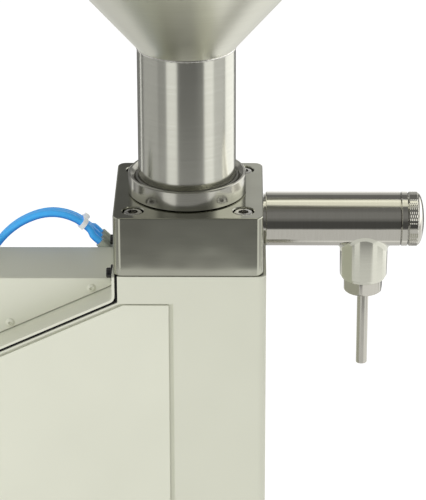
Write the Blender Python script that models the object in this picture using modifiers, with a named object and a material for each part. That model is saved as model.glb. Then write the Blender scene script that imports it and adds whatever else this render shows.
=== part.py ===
"""Desktop piston paste filling machine, driven by compressed air.

A funnel hopper stands on a valve block, and a metering cylinder hangs under it in a painted sheet
cabinet. An air cylinder moves the metering piston. Paste leaves through the arm and its nozzle.
Lengths are metres. +Z is up, +X runs from the cabinet to the nozzle, and the operator stands at -Y.
Places are measured from the hopper's axis, which the empty named neck_axis carries.
"""

import math

import bmesh
import bpy
from mathutils import Vector

MM = 0.001

# Clearances that pieces share
FIT = 0.3 * MM
OVERRUN = 4 * MM

# Facets of round pieces
HOPPER_STEPS = 40
ROUND_STEPS = 24
SMALL_STEPS = 16
INNER_STEPS = 20
HEX = 6
SMOOTH_STEPS = 8
ARC_STEPS = 4

# Feet and base plate
FOOT_HEIGHT = 15 * MM
FOOT_RADIUS = 13 * MM
FOOT_TOP_RADIUS = 10.5 * MM
FOOT_EDGE = 1.5 * MM
FOOT_INSET = 17 * MM
BASE_THICKNESS = 4 * MM
BASE_LEFT = -206 * MM
BASE_RIGHT = 62 * MM
BASE_WIDTH = 150 * MM
BASE_CORNER = 8 * MM

# Cabinet
COLUMN_TOP = 300 * MM
CABINET_DEPTH = 77.5 * MM
COLUMN_LEDGE = 1.65 * MM
JOINT_INSET = 1.25 * MM
CABINET_LEFT = -200 * MM
SHEET = 1.5 * MM
SHEET_BEND = 2.5 * MM
SLOPE = math.radians(24.8)
SLOPE_DROP = 14.3 * MM
JOINT_WIDTH = 1.4 * MM
GASKET_THICKNESS = 0.8 * MM
GASKET_INSET = 0.6 * MM
GASKET_LAND = 9 * MM
SLOPE_RIM = 1 * MM

# Access covers, one in the front and one in the back
COVER_SHEET = 1 * MM
COVER_RIGHT_GAP = 2.3 * MM
COVER_TOP_GAP = 0.8 * MM
COVER_SLOPE_GAP = 1.5 * MM
COVER_OPENING_RIGHT = -6.9 * MM
COVER_OPENING_DROP = 15.4 * MM
COVER_LEFT_RIM = 11 * MM
COVER_BOTTOM_RIM = 10 * MM
LIP_WIDTH = 9 * MM
LIP_OVERLAP = 0.1 * MM
LIP_WELD = 6 * MM
LIP_THICKNESS = 1.4 * MM

# Hood on the deck
HOOD_WIDTH = 41.5 * MM
HOOD_TOP_DROP = 8.7 * MM
HOOD_SHEET = 1.2 * MM
HOOD_EDGE = 1 * MM
HOOD_RIGHT_GAP = 0.6 * MM
HOOD_BASE_GAP = 0.6 * MM
HOOD_LEFT = -190 * MM
PANEL_THICKNESS = 2 * MM

# Window to the dose nut, in the wall under the nozzle
WINDOW_WIDTH = 46 * MM
WINDOW_BOTTOM = 28 * MM
WINDOW_TOP = 74 * MM
WINDOW_CORNER = 5 * MM

# Top plate of the column, which carries the block and the metering cylinder
TOP_PLATE_THICKNESS = 8 * MM
TOP_PLATE_GAP = 1.5 * MM

# Valve block
BLOCK_SIDE = CABINET_DEPTH
BLOCK_CENTRE_X = 1 * MM
BLOCK_HEIGHT = 32.5 * MM
BLOCK_CORNER = 4.5 * MM
BLOCK_EDGE = 0.6 * MM
INLET_RADIUS = 13 * MM
BLOCK_ROOF = 8.8 * MM

# Block screws
SCREW_INSET = 10.25 * MM
SCREW_HEAD_RADIUS = 4.9 * MM
SCREW_HEAD_HEIGHT = 6 * MM
SCREW_SHANK_RADIUS = 2.9 * MM
SCREW_GRIP = 6 * MM
SCREW_SOCKET_RADIUS = 2.9 * MM
SCREW_SOCKET_DEPTH = 3.2 * MM
SCREW_EDGE = 0.5 * MM
COUNTERBORE_RADIUS = 5.5 * MM

# Hopper
HOPPER_RADIUS = 150 * MM
HOPPER_SHEET = 1.2 * MM
HOPPER_CONE_ANGLE = math.radians(41)
HOPPER_WALL_HEIGHT = 80 * MM
HOPPER_BEAD = 4 * MM
HOPPER_BEAD_STEPS = 9
NECK_RADIUS = 25.5 * MM
NECK_WALL = 1.5 * MM
NECK_HEIGHT = 80 * MM

# Neck collar on the block
COLLAR_RADIUS = 30.9 * MM
COLLAR_HEIGHT = 10.5 * MM
COLLAR_LIP = 3.6 * MM
COLLAR_EDGE = 0.6 * MM
NECK_ORING_SECTION = 0.75 * MM

# Inlet valve
POPPET_RADIUS = 16 * MM
POPPET_THICKNESS = 3.6 * MM
POPPET_SEAT_RISE = 1.6 * MM
POPPET_STEM_RADIUS = 3 * MM
GUIDE_HEIGHT = 4 * MM
GUIDE_RING = 3 * MM
GUIDE_BOSS_RADIUS = 7 * MM
GUIDE_ARM_WIDTH = 4 * MM
GUIDE_ARMS = 3
KEEPER_RADIUS = 8 * MM
KEEPER_HEIGHT = 5 * MM
VALVE_SPRING_WIRE = 0.6 * MM
INLET_SPRING_RADIUS = 5.4 * MM
INLET_SPRING_LENGTH = 20 * MM
INLET_SPRING_TURNS = 5
SPRING_POINTS_PER_TURN = 9

# Metering cylinder
BORE_RADIUS = 20 * MM
METERING_WALL = 4 * MM
METERING_LENGTH = 78 * MM
METERING_FLANGE_HEIGHT = 5 * MM
FLANGE_INSET = 7.75 * MM
PISTON_STROKE = 40 * MM
PISTON_HEIGHT = 22 * MM
PISTON_TOP_CLEARANCE = 0.6 * MM
PISTON_SEAL_WIDTH = 2.6 * MM
PISTON_SEAL_DEPTH = 2.5 * MM
PISTON_SEAL_CLEARANCE = 0.15 * MM
PISTON_SEAL_FIRST = 4 * MM
PISTON_SEAL_PITCH = 11 * MM
ROD_RADIUS = 6 * MM
ROD_SPIGOT_RADIUS = 4 * MM
ROD_SPIGOT_LENGTH = 10 * MM
ROD_LENGTH = 37 * MM
COUPLING_RADIUS = 11 * MM
COUPLING_LENGTH = 24 * MM
COUPLING_EDGE = 1 * MM

# Air cylinder
MOUNT_PLATE_THICKNESS = 5 * MM
MOUNT_PLATE_GAP = 2 * MM
MOUNT_PLATE_SIDE_GAP = 3.5 * MM
AIR_CAP_RADIUS = 25 * MM
AIR_CAP_HEIGHT = 18 * MM
AIR_CAP_SKIRT = 8 * MM
AIR_CAP_EDGE = 1 * MM
AIR_BORE_RADIUS = 20 * MM
AIR_WALL = 2.5 * MM
AIR_PISTON_HEIGHT = 12 * MM
AIR_PISTON_MARGIN = 1.5 * MM

# Dose nut on the lower end of the air cylinder's rod
DOSE_NUT_RADIUS = 17 * MM
DOSE_NUT_HEIGHT = 13 * MM
DOSE_NUT_GRIPS = 12
DOSE_NUT_GRIP_DEPTH = 1.2 * MM
DOSE_STOP_GAP = 0.5 * MM
ROD_TAIL = 6 * MM

# Discharge arm
ARM_DROP = 16.2 * MM
ARM_RADIUS = 14.25 * MM
ARM_END_X = 112 * MM
ARM_GROOVE_RADIUS = 13.2 * MM
ARM_GROOVE_WIDTH = 1.2 * MM
ARM_SPIGOT_RADIUS = 11.7 * MM
ARM_SPIGOT_LENGTH = 12 * MM
ARM_BORE_RADIUS = 7.5 * MM
ARM_SEAT_X = 60 * MM
ARM_SEAT_RISE = 2 * MM
ARM_CHAMBER_RADIUS = 11.5 * MM
ARM_STEPS = 32
DROP_X = 93.2 * MM
DROP_RADIUS = 12.7 * MM
DROP_LENGTH = 31.8 * MM
DROP_STEP_HEIGHT = 1.6 * MM
DROP_STEP_RADIUS = 11.6 * MM
DROP_BORE_RADIUS = 8 * MM

# Nozzle
NUT_RADIUS = 10.75 * MM
NUT_HEIGHT = 7.4 * MM
NUT_ROUND = 2.6 * MM
NUT_FLOOR = 4 * MM
NUT_SPIGOT_LENGTH = 9 * MM
NUT_SPIGOT_WALL = 1.4 * MM
NOZZLE_RADIUS = 3 * MM
NOZZLE_WALL = 0.7 * MM
NOZZLE_REACH = 42.4 * MM
NOZZLE_FLANGE_HEIGHT = 2 * MM

# Arm end: ring, knurled cap and outlet valve
END_RING_WIDTH = 3.4 * MM
END_RING_RADIUS = 14.3 * MM
CAP_GAP = 0.4 * MM
CAP_GRIP_WIDTH = 4.8 * MM
CAP_DOME = 3.6 * MM
CAP_DOME_STEPS = 4
CAP_PLUG_REACH = 5 * MM
CAP_GUIDE_RADIUS = 2.9 * MM
OUTLET_POPPET_RADIUS = 9.4 * MM
OUTLET_POPPET_THICKNESS = 3 * MM
OUTLET_STEM_RADIUS = 2.5 * MM
OUTLET_STEM_END_GAP = 1 * MM
OUTLET_SPRING_RADIUS = 5.8 * MM
OUTLET_SPRING_TURNS = 6
OUTLET_TRAVEL = 8 * MM

# Controls on the hood
BEZEL_RADIUS = 13 * MM
BEZEL_HEIGHT = 7 * MM
BUTTON_X = -122 * MM
BUTTON_RADIUS = 11 * MM
BUTTON_HEIGHT = 7 * MM
BUTTON_TRAVEL = 3 * MM
BUTTON_STEM_RADIUS = 4 * MM
BUTTON_STEM_LENGTH = 14 * MM
CONTROL_EDGE = 1 * MM
SWITCH_X = -147 * MM
SWITCH_RADIUS = 10 * MM
SWITCH_SHAFT_RADIUS = 3 * MM
SWITCH_SKIRT = 4 * MM
SWITCH_GRIP_HEIGHT = 9 * MM
SWITCH_GRIP_WIDTH = 5 * MM
REGULATOR_WIDTH = 30 * MM
REGULATOR_HEIGHT = 34 * MM
REGULATOR_NECK_RADIUS = 9 * MM
REGULATOR_NECK_HEIGHT = 6 * MM
REGULATOR_X = -172 * MM
KNOB_RADIUS = 13 * MM
KNOB_HEIGHT = 20 * MM
KNOB_GRIPS = 16
KNOB_GRIP_DEPTH = 0.9 * MM
GAUGE_RADIUS = 17 * MM
GAUGE_DEPTH = 13 * MM
GAUGE_RIM = 1.6 * MM
GAUGE_DIAL_DEPTH = 3.5 * MM
GAUGE_CENTRE_DROP = 22 * MM
NEEDLE_LENGTH = 12 * MM
NEEDLE_REST = math.radians(45)
NEEDLE_WIDTH = 1.2 * MM
NEEDLE_THICKNESS = 0.6 * MM
NEEDLE_HUB_RADIUS = 2 * MM
NEEDLE_HUB_HEIGHT = 1.4 * MM

# Control valve and air inlet
VALVE_LENGTH = 74 * MM
VALVE_WIDTH = 26 * MM
VALVE_HEIGHT = 30 * MM
VALVE_X = -110 * MM
VALVE_EDGE = 1.5 * MM
INLET_HEIGHT = 60 * MM
AIR_INLET_RADIUS = 8 * MM
AIR_INLET_NUT = 10 * MM
AIR_INLET_LENGTH = 20 * MM
AIR_INLET_BORE = 3 * MM
AIR_INLET_SHANK = 6 * MM

# Blue air hoses behind the hood and the two fitting rails that hold them
HOSE_RADIUS = 2 * MM
HOSE_Y = 30 * MM
HOSES = 3
HOSE_SPACING = 6 * MM
HOSE_BUNDLE_SPACING = 4.5 * MM
HOSE_BUNDLE_STEP = 1.1 * MM
HOSE_POINT_PITCH = 5 * MM
HOSE_LEAD = 5 * MM
RING_RADIUS = 2.9 * MM
RING_LENGTH = 4 * MM
RAIL_LENGTH = 17 * MM
RAIL_WIDTH = 8 * MM
RAIL_RIGHT_REACH = 8.3 * MM
RAIL_LEFT_REACH = 81.5 * MM
RAIL_HEIGHT = 3.5 * MM
RAIL_RIGHT_LEAN = math.radians(-45)
RAIL_LEFT_LEAN = math.radians(22)

# Middle of the hose bundle from the right rail to the left one: reach from the joint behind the
# block, and drop from the block's top
HOSE_ROUTE = [
    (16.7 * MM, 34.4 * MM),
    (23.1 * MM, 29.2 * MM),
    (29.5 * MM, 26.4 * MM),
    (36.0 * MM, 25.4 * MM),
    (42.5 * MM, 26.1 * MM),
    (49.0 * MM, 28.4 * MM),
    (55.6 * MM, 32.1 * MM),
    (62.3 * MM, 37.9 * MM),
    (68.3 * MM, 45.6 * MM),
    (72.9 * MM, 54.4 * MM),
]

BLOCK_BOTTOM = COLUMN_TOP + FIT
BLOCK_TOP = BLOCK_BOTTOM + BLOCK_HEIGHT
BASE_BOTTOM = FOOT_HEIGHT + FIT
BASE_TOP = BASE_BOTTOM + BASE_THICKNESS
CABINET_BOTTOM = BASE_TOP + FIT
HALF_DEPTH = CABINET_DEPTH / 2
HOOD_TOP = COLUMN_TOP - HOOD_TOP_DROP
ARM_Z = BLOCK_TOP - ARM_DROP
CHAMBER_TOP = BLOCK_TOP - BLOCK_ROOF
BLOCK_RIGHT = BLOCK_CENTRE_X + BLOCK_SIDE / 2
CABINET_RIGHT = BLOCK_RIGHT + COLUMN_LEDGE
JOINT_X = BLOCK_CENTRE_X - BLOCK_SIDE / 2 + JOINT_INSET
TOP_PLATE_LEFT = JOINT_X + TOP_PLATE_GAP
MOUNT_PLATE_LEFT = JOINT_X + MOUNT_PLATE_SIDE_GAP
METERING_FLANGE_RADIUS = BLOCK_SIDE / 2 - FLANGE_INSET
RAIL_RIGHT_X = JOINT_X - RAIL_RIGHT_REACH
RAIL_LEFT_X = JOINT_X - RAIL_LEFT_REACH
HOPPER_OUTER = HOPPER_RADIUS - HOPPER_SHEET + 2 * HOPPER_BEAD
INLET_END = CABINET_LEFT - SHEET - FIT - AIR_INLET_LENGTH
AXIS_X = -(HOPPER_OUTER + INLET_END) / 2


def linear(hex_colour):
    """A sRGB hex colour as the linear values that a shader takes."""
    values = [int(hex_colour[i : i + 2], 16) / 255 for i in (0, 2, 4)]
    return [v / 12.92 if v <= 0.04045 else ((v + 0.055) / 1.055) ** 2.4 for v in values] + [1]


def material(name, hex_colour, roughness, metallic=0.0):
    made = bpy.data.materials.new(name)
    made.use_nodes = True
    shader = made.node_tree.nodes["Principled BSDF"]
    shader.inputs["Base Color"].default_value = linear(hex_colour)
    shader.inputs["Roughness"].default_value = roughness
    shader.inputs["Metallic"].default_value = metallic
    made.diffuse_color = linear(hex_colour)
    return made


def start_scene():
    """Empties the scene and makes the two collections and the axis that carries every piece."""
    for old in list(bpy.data.objects):
        bpy.data.objects.remove(old)
    for name in ("paste_filling_machine", "cutters"):
        bpy.context.scene.collection.children.link(bpy.data.collections.new(name))
    axis = bpy.data.objects.new("neck_axis", None)
    axis.location = (AXIS_X, 0, 0)
    bpy.data.collections["paste_filling_machine"].objects.link(axis)


def put(obj, paint, place=(0, 0, 0), turn=(0, 0, 0), cutter=False):
    """Links an object under the neck axis, as a piece of the machine or as a cutter."""
    group = "cutters" if cutter else "paste_filling_machine"
    bpy.data.collections[group].objects.link(obj)
    obj.parent = bpy.data.objects["neck_axis"]
    obj.location = place
    obj.rotation_euler = turn
    if paint:
        obj.data.materials.append(paint)
    if cutter:
        obj.hide_render = True
        obj.display_type = "WIRE"
    return obj


UP = (0, 0, 0)
RIGHT = (0, math.pi / 2, 0)
LEFT = (0, -math.pi / 2, 0)


def turned(name, profile, paint, place, turn=UP, steps=ROUND_STEPS, cutter=False):
    """A round piece. The profile is (radius, height) pairs down its outer side, then up its bore."""
    mesh = bpy.data.meshes.new(name)
    closed = profile[0][0] > 0
    edges = [(i, i + 1) for i in range(len(profile) - 1)]
    if closed:
        edges.append((len(profile) - 1, 0))
    mesh.from_pydata([(radius, 0, height) for radius, height in profile], edges, [])
    obj = put(bpy.data.objects.new(name, mesh), paint, place, turn, cutter)
    screw = obj.modifiers.new("turn", "SCREW")
    screw.angle = 2 * math.pi
    screw.steps = steps
    screw.render_steps = steps
    screw.use_merge_vertices = True
    screw.merge_threshold = 0.00001
    screw.use_smooth_shade = False
    return obj


def outline_curve(name, outlines, thickness):
    """A flat filled curve with the given closed outlines, extruded to a thickness."""
    curve = bpy.data.curves.new(name, "CURVE")
    curve.dimensions = "2D"
    curve.fill_mode = "BOTH"
    curve.extrude = thickness / 2
    for outline in outlines:
        spline = curve.splines.new("POLY")
        spline.points.add(len(outline) - 1)
        for point, (a, b) in zip(spline.points, outline):
            point.co = (a, b, 0, 1)
        spline.use_cyclic_u = True
    return curve


FLAT = (0, 0, 0)
FACING_Y = (math.pi / 2, 0, 0)
FACING_X = (math.pi / 2, 0, math.pi / 2)


def plate(name, outlines, thickness, paint, place, turn=FLAT, cutter=False):
    """A plate cut to an outline, as a closed mesh. The place is the middle of its thickness."""
    guide = bpy.data.objects.new(name + "_outline", outline_curve(name, outlines, thickness))
    bpy.context.scene.collection.objects.link(guide)
    bpy.context.view_layer.update()
    graph = bpy.context.evaluated_depsgraph_get()
    mesh = bpy.data.meshes.new_from_object(guide.evaluated_get(graph))
    bpy.data.objects.remove(guide)
    work = bmesh.new()
    work.from_mesh(mesh)
    bmesh.ops.remove_doubles(work, verts=work.verts, dist=0.000001)
    bmesh.ops.recalc_face_normals(work, faces=work.faces)
    work.to_mesh(mesh)
    work.free()
    mesh.name = name
    return put(bpy.data.objects.new(name, mesh), paint, place, turn, cutter)


def box(name, low, high, paint, edge=0.0, cutter=False):
    """A block between two corners, with its edges broken when a width is given."""
    mesh = bpy.data.meshes.new(name)
    work = bmesh.new()
    bmesh.ops.create_cube(work, size=1)
    size = Vector(high) - Vector(low)
    bmesh.ops.scale(work, vec=size, verts=work.verts)
    work.to_mesh(mesh)
    work.free()
    middle = (Vector(low) + Vector(high)) / 2
    obj = put(bpy.data.objects.new(name, mesh), paint, middle, cutter=cutter)
    if edge:
        break_edges(obj, edge)
    return obj


def break_edges(obj, width, segments=1):
    bevel = obj.modifiers.new("edges", "BEVEL")
    bevel.width = width
    bevel.segments = segments
    bevel.limit_method = "ANGLE"
    bevel.angle_limit = math.radians(50)
    return bevel


def combine(obj, other, operation="DIFFERENCE"):
    """Cuts one object by another, or joins them."""
    step = obj.modifiers.new(operation.lower(), "BOOLEAN")
    step.operation = operation
    step.solver = "EXACT"
    step.object = other


def tube(name, points, radius, paint, resolution=2, place=(0, 0, 0), turn=UP):
    """A round bar or hose along a line of points."""
    curve = bpy.data.curves.new(name, "CURVE")
    curve.dimensions = "3D"
    curve.bevel_depth = radius
    curve.bevel_resolution = resolution
    curve.use_fill_caps = True
    spline = curve.splines.new("POLY")
    spline.points.add(len(points) - 1)
    for point, at in zip(spline.points, points):
        point.co = (*at, 1)
    return put(bpy.data.objects.new(name, curve), paint, place, turn)


def arc(centre_a, centre_b, radius, start, end, steps):
    """Points on an arc, from one angle to another, both ends included."""
    points = []
    for i in range(steps + 1):
        angle = start + (end - start) * i / steps
        points.append((centre_a + radius * math.cos(angle), centre_b + radius * math.sin(angle)))
    return points


def rounded_rectangle(low_a, low_b, high_a, high_b, radius):
    quarter = math.pi / 2
    corners = [(high_a - radius, high_b - radius), (low_a + radius, high_b - radius)]
    corners += [(low_a + radius, low_b + radius), (high_a - radius, low_b + radius)]
    points = []
    for i, (a, b) in enumerate(corners):
        points += arc(a, b, radius, i * quarter, (i + 1) * quarter, ARC_STEPS)
    return points


def grip_outline(radius, depth, grips):
    """A round outline with a shallow hollow between each two grips."""
    points = []
    for i in range(2 * grips):
        reach = radius if i % 2 else radius - depth
        angle = math.pi * i / grips
        points.append((reach * math.cos(angle), reach * math.sin(angle)))
    return points


def shifted_outline(outline, distance):
    """A convex outline, listed anticlockwise, with each side moved outwards by a distance."""
    count = len(outline)
    sides = []
    for i in range(count):
        start = Vector(outline[i])
        along = (Vector(outline[(i + 1) % count]) - start).normalized()
        sides.append((start + Vector((along.y, -along.x)) * distance, along))
    points = []
    for i in range(count):
        start, along = sides[i - 1]
        other, across = sides[i]
        turn = along.x * across.y - along.y * across.x
        step = ((other - start).x * across.y - (other - start).y * across.x) / turn
        points.append(tuple(start + along * step))
    return points


def bent_sheet(path, bend, thickness):
    """The closed outline of a bent sheet along a path of corners, bent to one inner radius."""
    points = [Vector(p) for p in path]
    line = [(points[0], (points[1] - points[0]).normalized())]
    middle_bend = bend + thickness / 2
    for before, corner, after in zip(points, points[1:], points[2:]):
        come = (corner - before).normalized()
        go = (after - corner).normalized()
        turn = math.atan2(come.x * go.y - come.y * go.x, come.dot(go))
        start = corner - come * middle_bend * math.tan(abs(turn) / 2)
        side = math.copysign(1, turn)
        centre = start + Vector((-come.y, come.x)) * side * middle_bend
        for i in range(ARC_STEPS + 1):
            angle = turn * i / ARC_STEPS
            reach = start - centre
            cos, sin = math.cos(angle), math.sin(angle)
            at = centre + Vector((reach.x * cos - reach.y * sin, reach.x * sin + reach.y * cos))
            way = Vector((come.x * cos - come.y * sin, come.x * sin + come.y * cos))
            line.append((at, way))
    line.append((points[-1], (points[-1] - points[-2]).normalized()))
    near = [at + Vector((-way.y, way.x)) * thickness / 2 for at, way in line]
    far = [at - Vector((-way.y, way.x)) * thickness / 2 for at, way in line]
    return [tuple(p) for p in near + far[::-1]]


def joint_z(x, above=0.0):
    """Height of the slanted joint under the deck at a place x, moved square to the slope."""
    corner_z = COLUMN_TOP - SLOPE_DROP
    return corner_z + (x - JOINT_X) * math.tan(SLOPE) + above / math.cos(SLOPE)


def joint_x(z, above=0.0):
    """The place x where the line that joint_z gives has a height z."""
    return JOINT_X + (z - joint_z(JOINT_X, above)) / math.tan(SLOPE)


def deck_top(x):
    return joint_z(x, JOINT_WIDTH / 2 + SHEET)


def spring_points(radius, length, turns):
    """A helix of even pitch, listed from its lower end."""
    count = turns * SPRING_POINTS_PER_TURN
    points = []
    for i in range(count + 1):
        share = i / count
        angle = 2 * math.pi * turns * share
        points.append((radius * math.cos(angle), radius * math.sin(angle), length * share))
    return points


def report_spring_gap(name, points):
    """Prints the least gap between a spring's turns, measured on its centre line's points."""
    far = SPRING_POINTS_PER_TURN // 2
    least = min(math.dist(a, b) for i, a in enumerate(points) for b in points[i + far :])
    gap = (least - 2 * VALVE_SPRING_WIRE) / MM
    print(f"{name}: least gap between turns {gap:.2f} mm")


# Materials

SATIN_STEEL = material("satin_stainless", "B9B9B0", 0.32, 1.0)
POLISHED_STEEL = material("polished_stainless", "A9A89F", 0.14, 1.0)
BRIGHT_STEEL = material("ground_steel", "C8C8C4", 0.25, 1.0)
PAINT = material("cream_grey_paint", "D8D9C8", 0.45)
HOOD_PAINT = material("hood_paint", "CBCCBC", 0.45)
RUBBER = material("black_rubber", "1A1A1A", 0.8)
FOOD_SEAL = material("white_seal", "E6E4DC", 0.6)
ALUMINIUM = material("anodised_aluminium", "BFC2C4", 0.4, 1.0)
BLACK_PLASTIC = material("black_plastic", "222224", 0.5)
GREEN_PLASTIC = material("green_plastic", "2E8B57", 0.4)
FITTING = material("grey_green_fitting", "6F8478", 0.5)
HOSE_BLUE = material("blue_polyurethane", "2F8FE0", 0.3)
BRASS = material("plated_brass", "B5A878", 0.3, 1.0)


def make_feet():
    """Four rubber feet under the base plate's corners."""
    rows = [("front", -1), ("rear", 1)]
    columns = [("left", BASE_LEFT + FOOT_INSET), ("right", BASE_RIGHT - FOOT_INSET)]
    profile = [(0, FOOT_HEIGHT), (FOOT_TOP_RADIUS, FOOT_HEIGHT), (FOOT_RADIUS, FOOT_EDGE)]
    profile += [(FOOT_RADIUS - FOOT_EDGE, 0), (0, 0)]
    for row, side in rows:
        for column, x in columns:
            y = side * (BASE_WIDTH / 2 - FOOT_INSET)
            turned(f"foot_{row}_{column}", profile, RUBBER, (x, y, 0), steps=SMALL_STEPS)


def make_base_plate():
    half = BASE_WIDTH / 2
    outline = rounded_rectangle(BASE_LEFT, -half, BASE_RIGHT, half, BASE_CORNER)
    middle = BASE_BOTTOM + BASE_THICKNESS / 2
    base = plate("base_plate", [outline], BASE_THICKNESS, BRIGHT_STEEL, (0, 0, middle))
    return base


def opening_outline():
    """The cover opening in a side of the cabinet, listed anticlockwise as (x, z)."""
    rim = -(JOINT_WIDTH / 2 + SLOPE_RIM)
    left = CABINET_LEFT + COVER_LEFT_RIM
    top = COLUMN_TOP - COVER_OPENING_DROP
    bottom = CABINET_BOTTOM + COVER_BOTTOM_RIM
    return [
        (left, bottom),
        (COVER_OPENING_RIGHT, bottom),
        (COVER_OPENING_RIGHT, top),
        (joint_x(top, rim), top),
        (left, joint_z(left, rim)),
    ]


def cover_outline():
    """The cover, which leaves its own gap at each side of the opening."""
    rim = -(JOINT_WIDTH / 2 + SLOPE_RIM + COVER_SLOPE_GAP)
    left = CABINET_LEFT + COVER_LEFT_RIM + COVER_SLOPE_GAP
    right = COVER_OPENING_RIGHT - COVER_RIGHT_GAP
    top = COLUMN_TOP - COVER_OPENING_DROP - COVER_TOP_GAP
    bottom = CABINET_BOTTOM + COVER_BOTTOM_RIM + COVER_SLOPE_GAP
    return [
        (left, bottom),
        (right, bottom),
        (right, top),
        (joint_x(top, rim), top),
        (left, joint_z(left, rim)),
    ]


def make_cabinet():
    """Front, right and back walls folded from one sheet, with lips behind the two openings."""
    bend = SHEET_BEND + SHEET
    right = CABINET_RIGHT - bend
    front = -HALF_DEPTH + bend
    back = HALF_DEPTH - bend
    quarter = math.pi / 2
    wall = [(CABINET_LEFT, -HALF_DEPTH)]
    wall += arc(right, front, bend, -quarter, 0, ARC_STEPS)
    wall += arc(right, back, bend, 0, quarter, ARC_STEPS)
    wall += [(CABINET_LEFT, HALF_DEPTH), (CABINET_LEFT, HALF_DEPTH - SHEET)]
    wall += arc(right, back, SHEET_BEND, quarter, 0, ARC_STEPS)
    wall += arc(right, front, SHEET_BEND, 0, -quarter, ARC_STEPS)
    wall += [(CABINET_LEFT, SHEET - HALF_DEPTH)]
    height = COLUMN_TOP - CABINET_BOTTOM
    middle = CABINET_BOTTOM + height / 2
    shell = plate("cabinet_shell", [wall], height, PAINT, (0, 0, middle))

    width = CABINET_DEPTH + 2 * OVERRUN
    opening = plate("cover_cut", [opening_outline()], width, None, (0, 0, 0), FACING_Y, True)
    combine(shell, opening)
    for side, name in ((-1, "front"), (1, "rear")):
        outlines = [shifted_outline(opening_outline(), LIP_WELD)]
        outlines.append(shifted_outline(opening_outline(), -LIP_WIDTH))
        y = side * (HALF_DEPTH - SHEET + LIP_OVERLAP - LIP_THICKNESS / 2)
        lip = plate(f"{name}_lip", outlines, LIP_THICKNESS, None, (0, y, 0), FACING_Y, True)
        combine(shell, lip, "UNION")

    edge = -JOINT_WIDTH / 2
    strip_left = JOINT_X + JOINT_WIDTH / 2
    far_left = CABINET_LEFT - OVERRUN
    above = COLUMN_TOP + OVERRUN
    sky = [(far_left, joint_z(far_left, edge)), (strip_left, joint_z(strip_left, edge))]
    sky += [(strip_left, above), (far_left, above)]
    combine(shell, plate("deck_cut", [sky], width, None, (0, 0, 0), FACING_Y, True))

    half = WINDOW_WIDTH / 2
    window = rounded_rectangle(-half, WINDOW_BOTTOM, half, WINDOW_TOP, WINDOW_CORNER)
    place = (CABINET_RIGHT, 0, 0)
    combine(shell, plate("window_cut", [window], 2 * OVERRUN, None, place, FACING_X, True))


def make_covers():
    for side, name in ((-1, "front"), (1, "rear")):
        y = side * (HALF_DEPTH - COVER_SHEET / 2)
        plate(f"{name}_cover", [cover_outline()], COVER_SHEET, PAINT, (0, y, 0), FACING_Y)


def deck_path(above, right_x, left_x, top, bottom):
    """Corners of a line that runs down behind the block, along the slope and down the left end."""
    slope_above = JOINT_WIDTH / 2 + above
    corner = (right_x, joint_z(right_x, slope_above))
    knee = (left_x, joint_z(left_x, slope_above))
    return [(right_x, top), corner, knee, (left_x, bottom)]


def make_deck():
    """The slanted deck, bent up behind the block and down as the cabinet's left end."""
    half = SHEET / 2
    right = JOINT_X - JOINT_WIDTH / 2 - half
    left = CABINET_LEFT - FIT - half
    path = deck_path(half, right, left, COLUMN_TOP - FIT, CABINET_BOTTOM)
    plate("deck", [bent_sheet(path, SHEET_BEND, SHEET)], CABINET_DEPTH, PAINT, (0, 0, 0), FACING_Y)

    thin = GASKET_THICKNESS / 2
    start = (JOINT_X, COLUMN_TOP - 2 * FIT)
    corner = (JOINT_X, joint_z(JOINT_X))
    end_x = CABINET_LEFT + GASKET_LAND
    end = (end_x, joint_z(end_x))
    outline = bent_sheet([start, corner, end], thin, GASKET_THICKNESS)
    width = CABINET_DEPTH - 2 * GASKET_INSET
    gasket = plate("deck_gasket", [outline], width, RUBBER, (0, 0, 0), FACING_Y)
    inner = width / 2 - GASKET_LAND
    low = (end_x + GASKET_LAND, -inner, joint_z(end_x) - OVERRUN)
    high = (JOINT_X - GASKET_LAND, inner, COLUMN_TOP - SLOPE_DROP)
    combine(gasket, box("gasket_cut", low, high, None, cutter=True))


def make_hood():
    """The narrow wedge cover on the deck, open below and at its left end."""
    right = JOINT_X - JOINT_WIDTH / 2 - SHEET - HOOD_RIGHT_GAP
    mesh = bpy.data.meshes.new("hood")
    work = bmesh.new()
    bmesh.ops.create_cube(work, size=2)
    for corner in work.verts:
        x = right if corner.co.x > 0 else HOOD_LEFT
        z = HOOD_TOP if corner.co.z > 0 else deck_top(x) + HOOD_BASE_GAP
        corner.co = (x, math.copysign(HOOD_WIDTH / 2, corner.co.y), z)
    work.normal_update()
    gone = [f for f in work.faces if f.normal.z < -0.5 or f.normal.x < -0.5]
    bmesh.ops.delete(work, geom=gone, context="FACES")
    work.to_mesh(mesh)
    work.free()
    hood = put(bpy.data.objects.new("hood", mesh), HOOD_PAINT)
    break_edges(hood, HOOD_EDGE, 2)
    wall = hood.modifiers.new("sheet", "SOLIDIFY")
    wall.thickness = HOOD_SHEET
    wall.offset = -1
    wall.use_even_offset = True
    depth = 2 * OVERRUN
    holes = [("button_hole", BUTTON_X, BUTTON_STEM_RADIUS)]
    holes += [("switch_hole", SWITCH_X, SWITCH_SHAFT_RADIUS)]
    holes += [("regulator_hole", REGULATOR_X, REGULATOR_NECK_RADIUS)]
    for name, x, radius in holes:
        profile = [(0, depth), (radius + FIT, depth), (radius + FIT, -depth), (0, -depth)]
        cut = turned(name, profile, None, (x, 0, HOOD_TOP), steps=SMALL_STEPS, cutter=True)
        combine(hood, cut)

    half = HOOD_WIDTH / 2
    middle = HOOD_LEFT - FIT - PANEL_THICKNESS / 2
    low = deck_top(HOOD_LEFT) + HOOD_BASE_GAP
    outline = rounded_rectangle(-half, low, half, HOOD_TOP, HOOD_EDGE)
    plate("control_panel", [outline], PANEL_THICKNESS, HOOD_PAINT, (middle, 0, 0), FACING_X)


def screw_places():
    half = BLOCK_SIDE / 2 - SCREW_INSET
    return [(BLOCK_CENTRE_X + i * half, j * half) for j in (-1, 1) for i in (-1, 1)]


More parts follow.
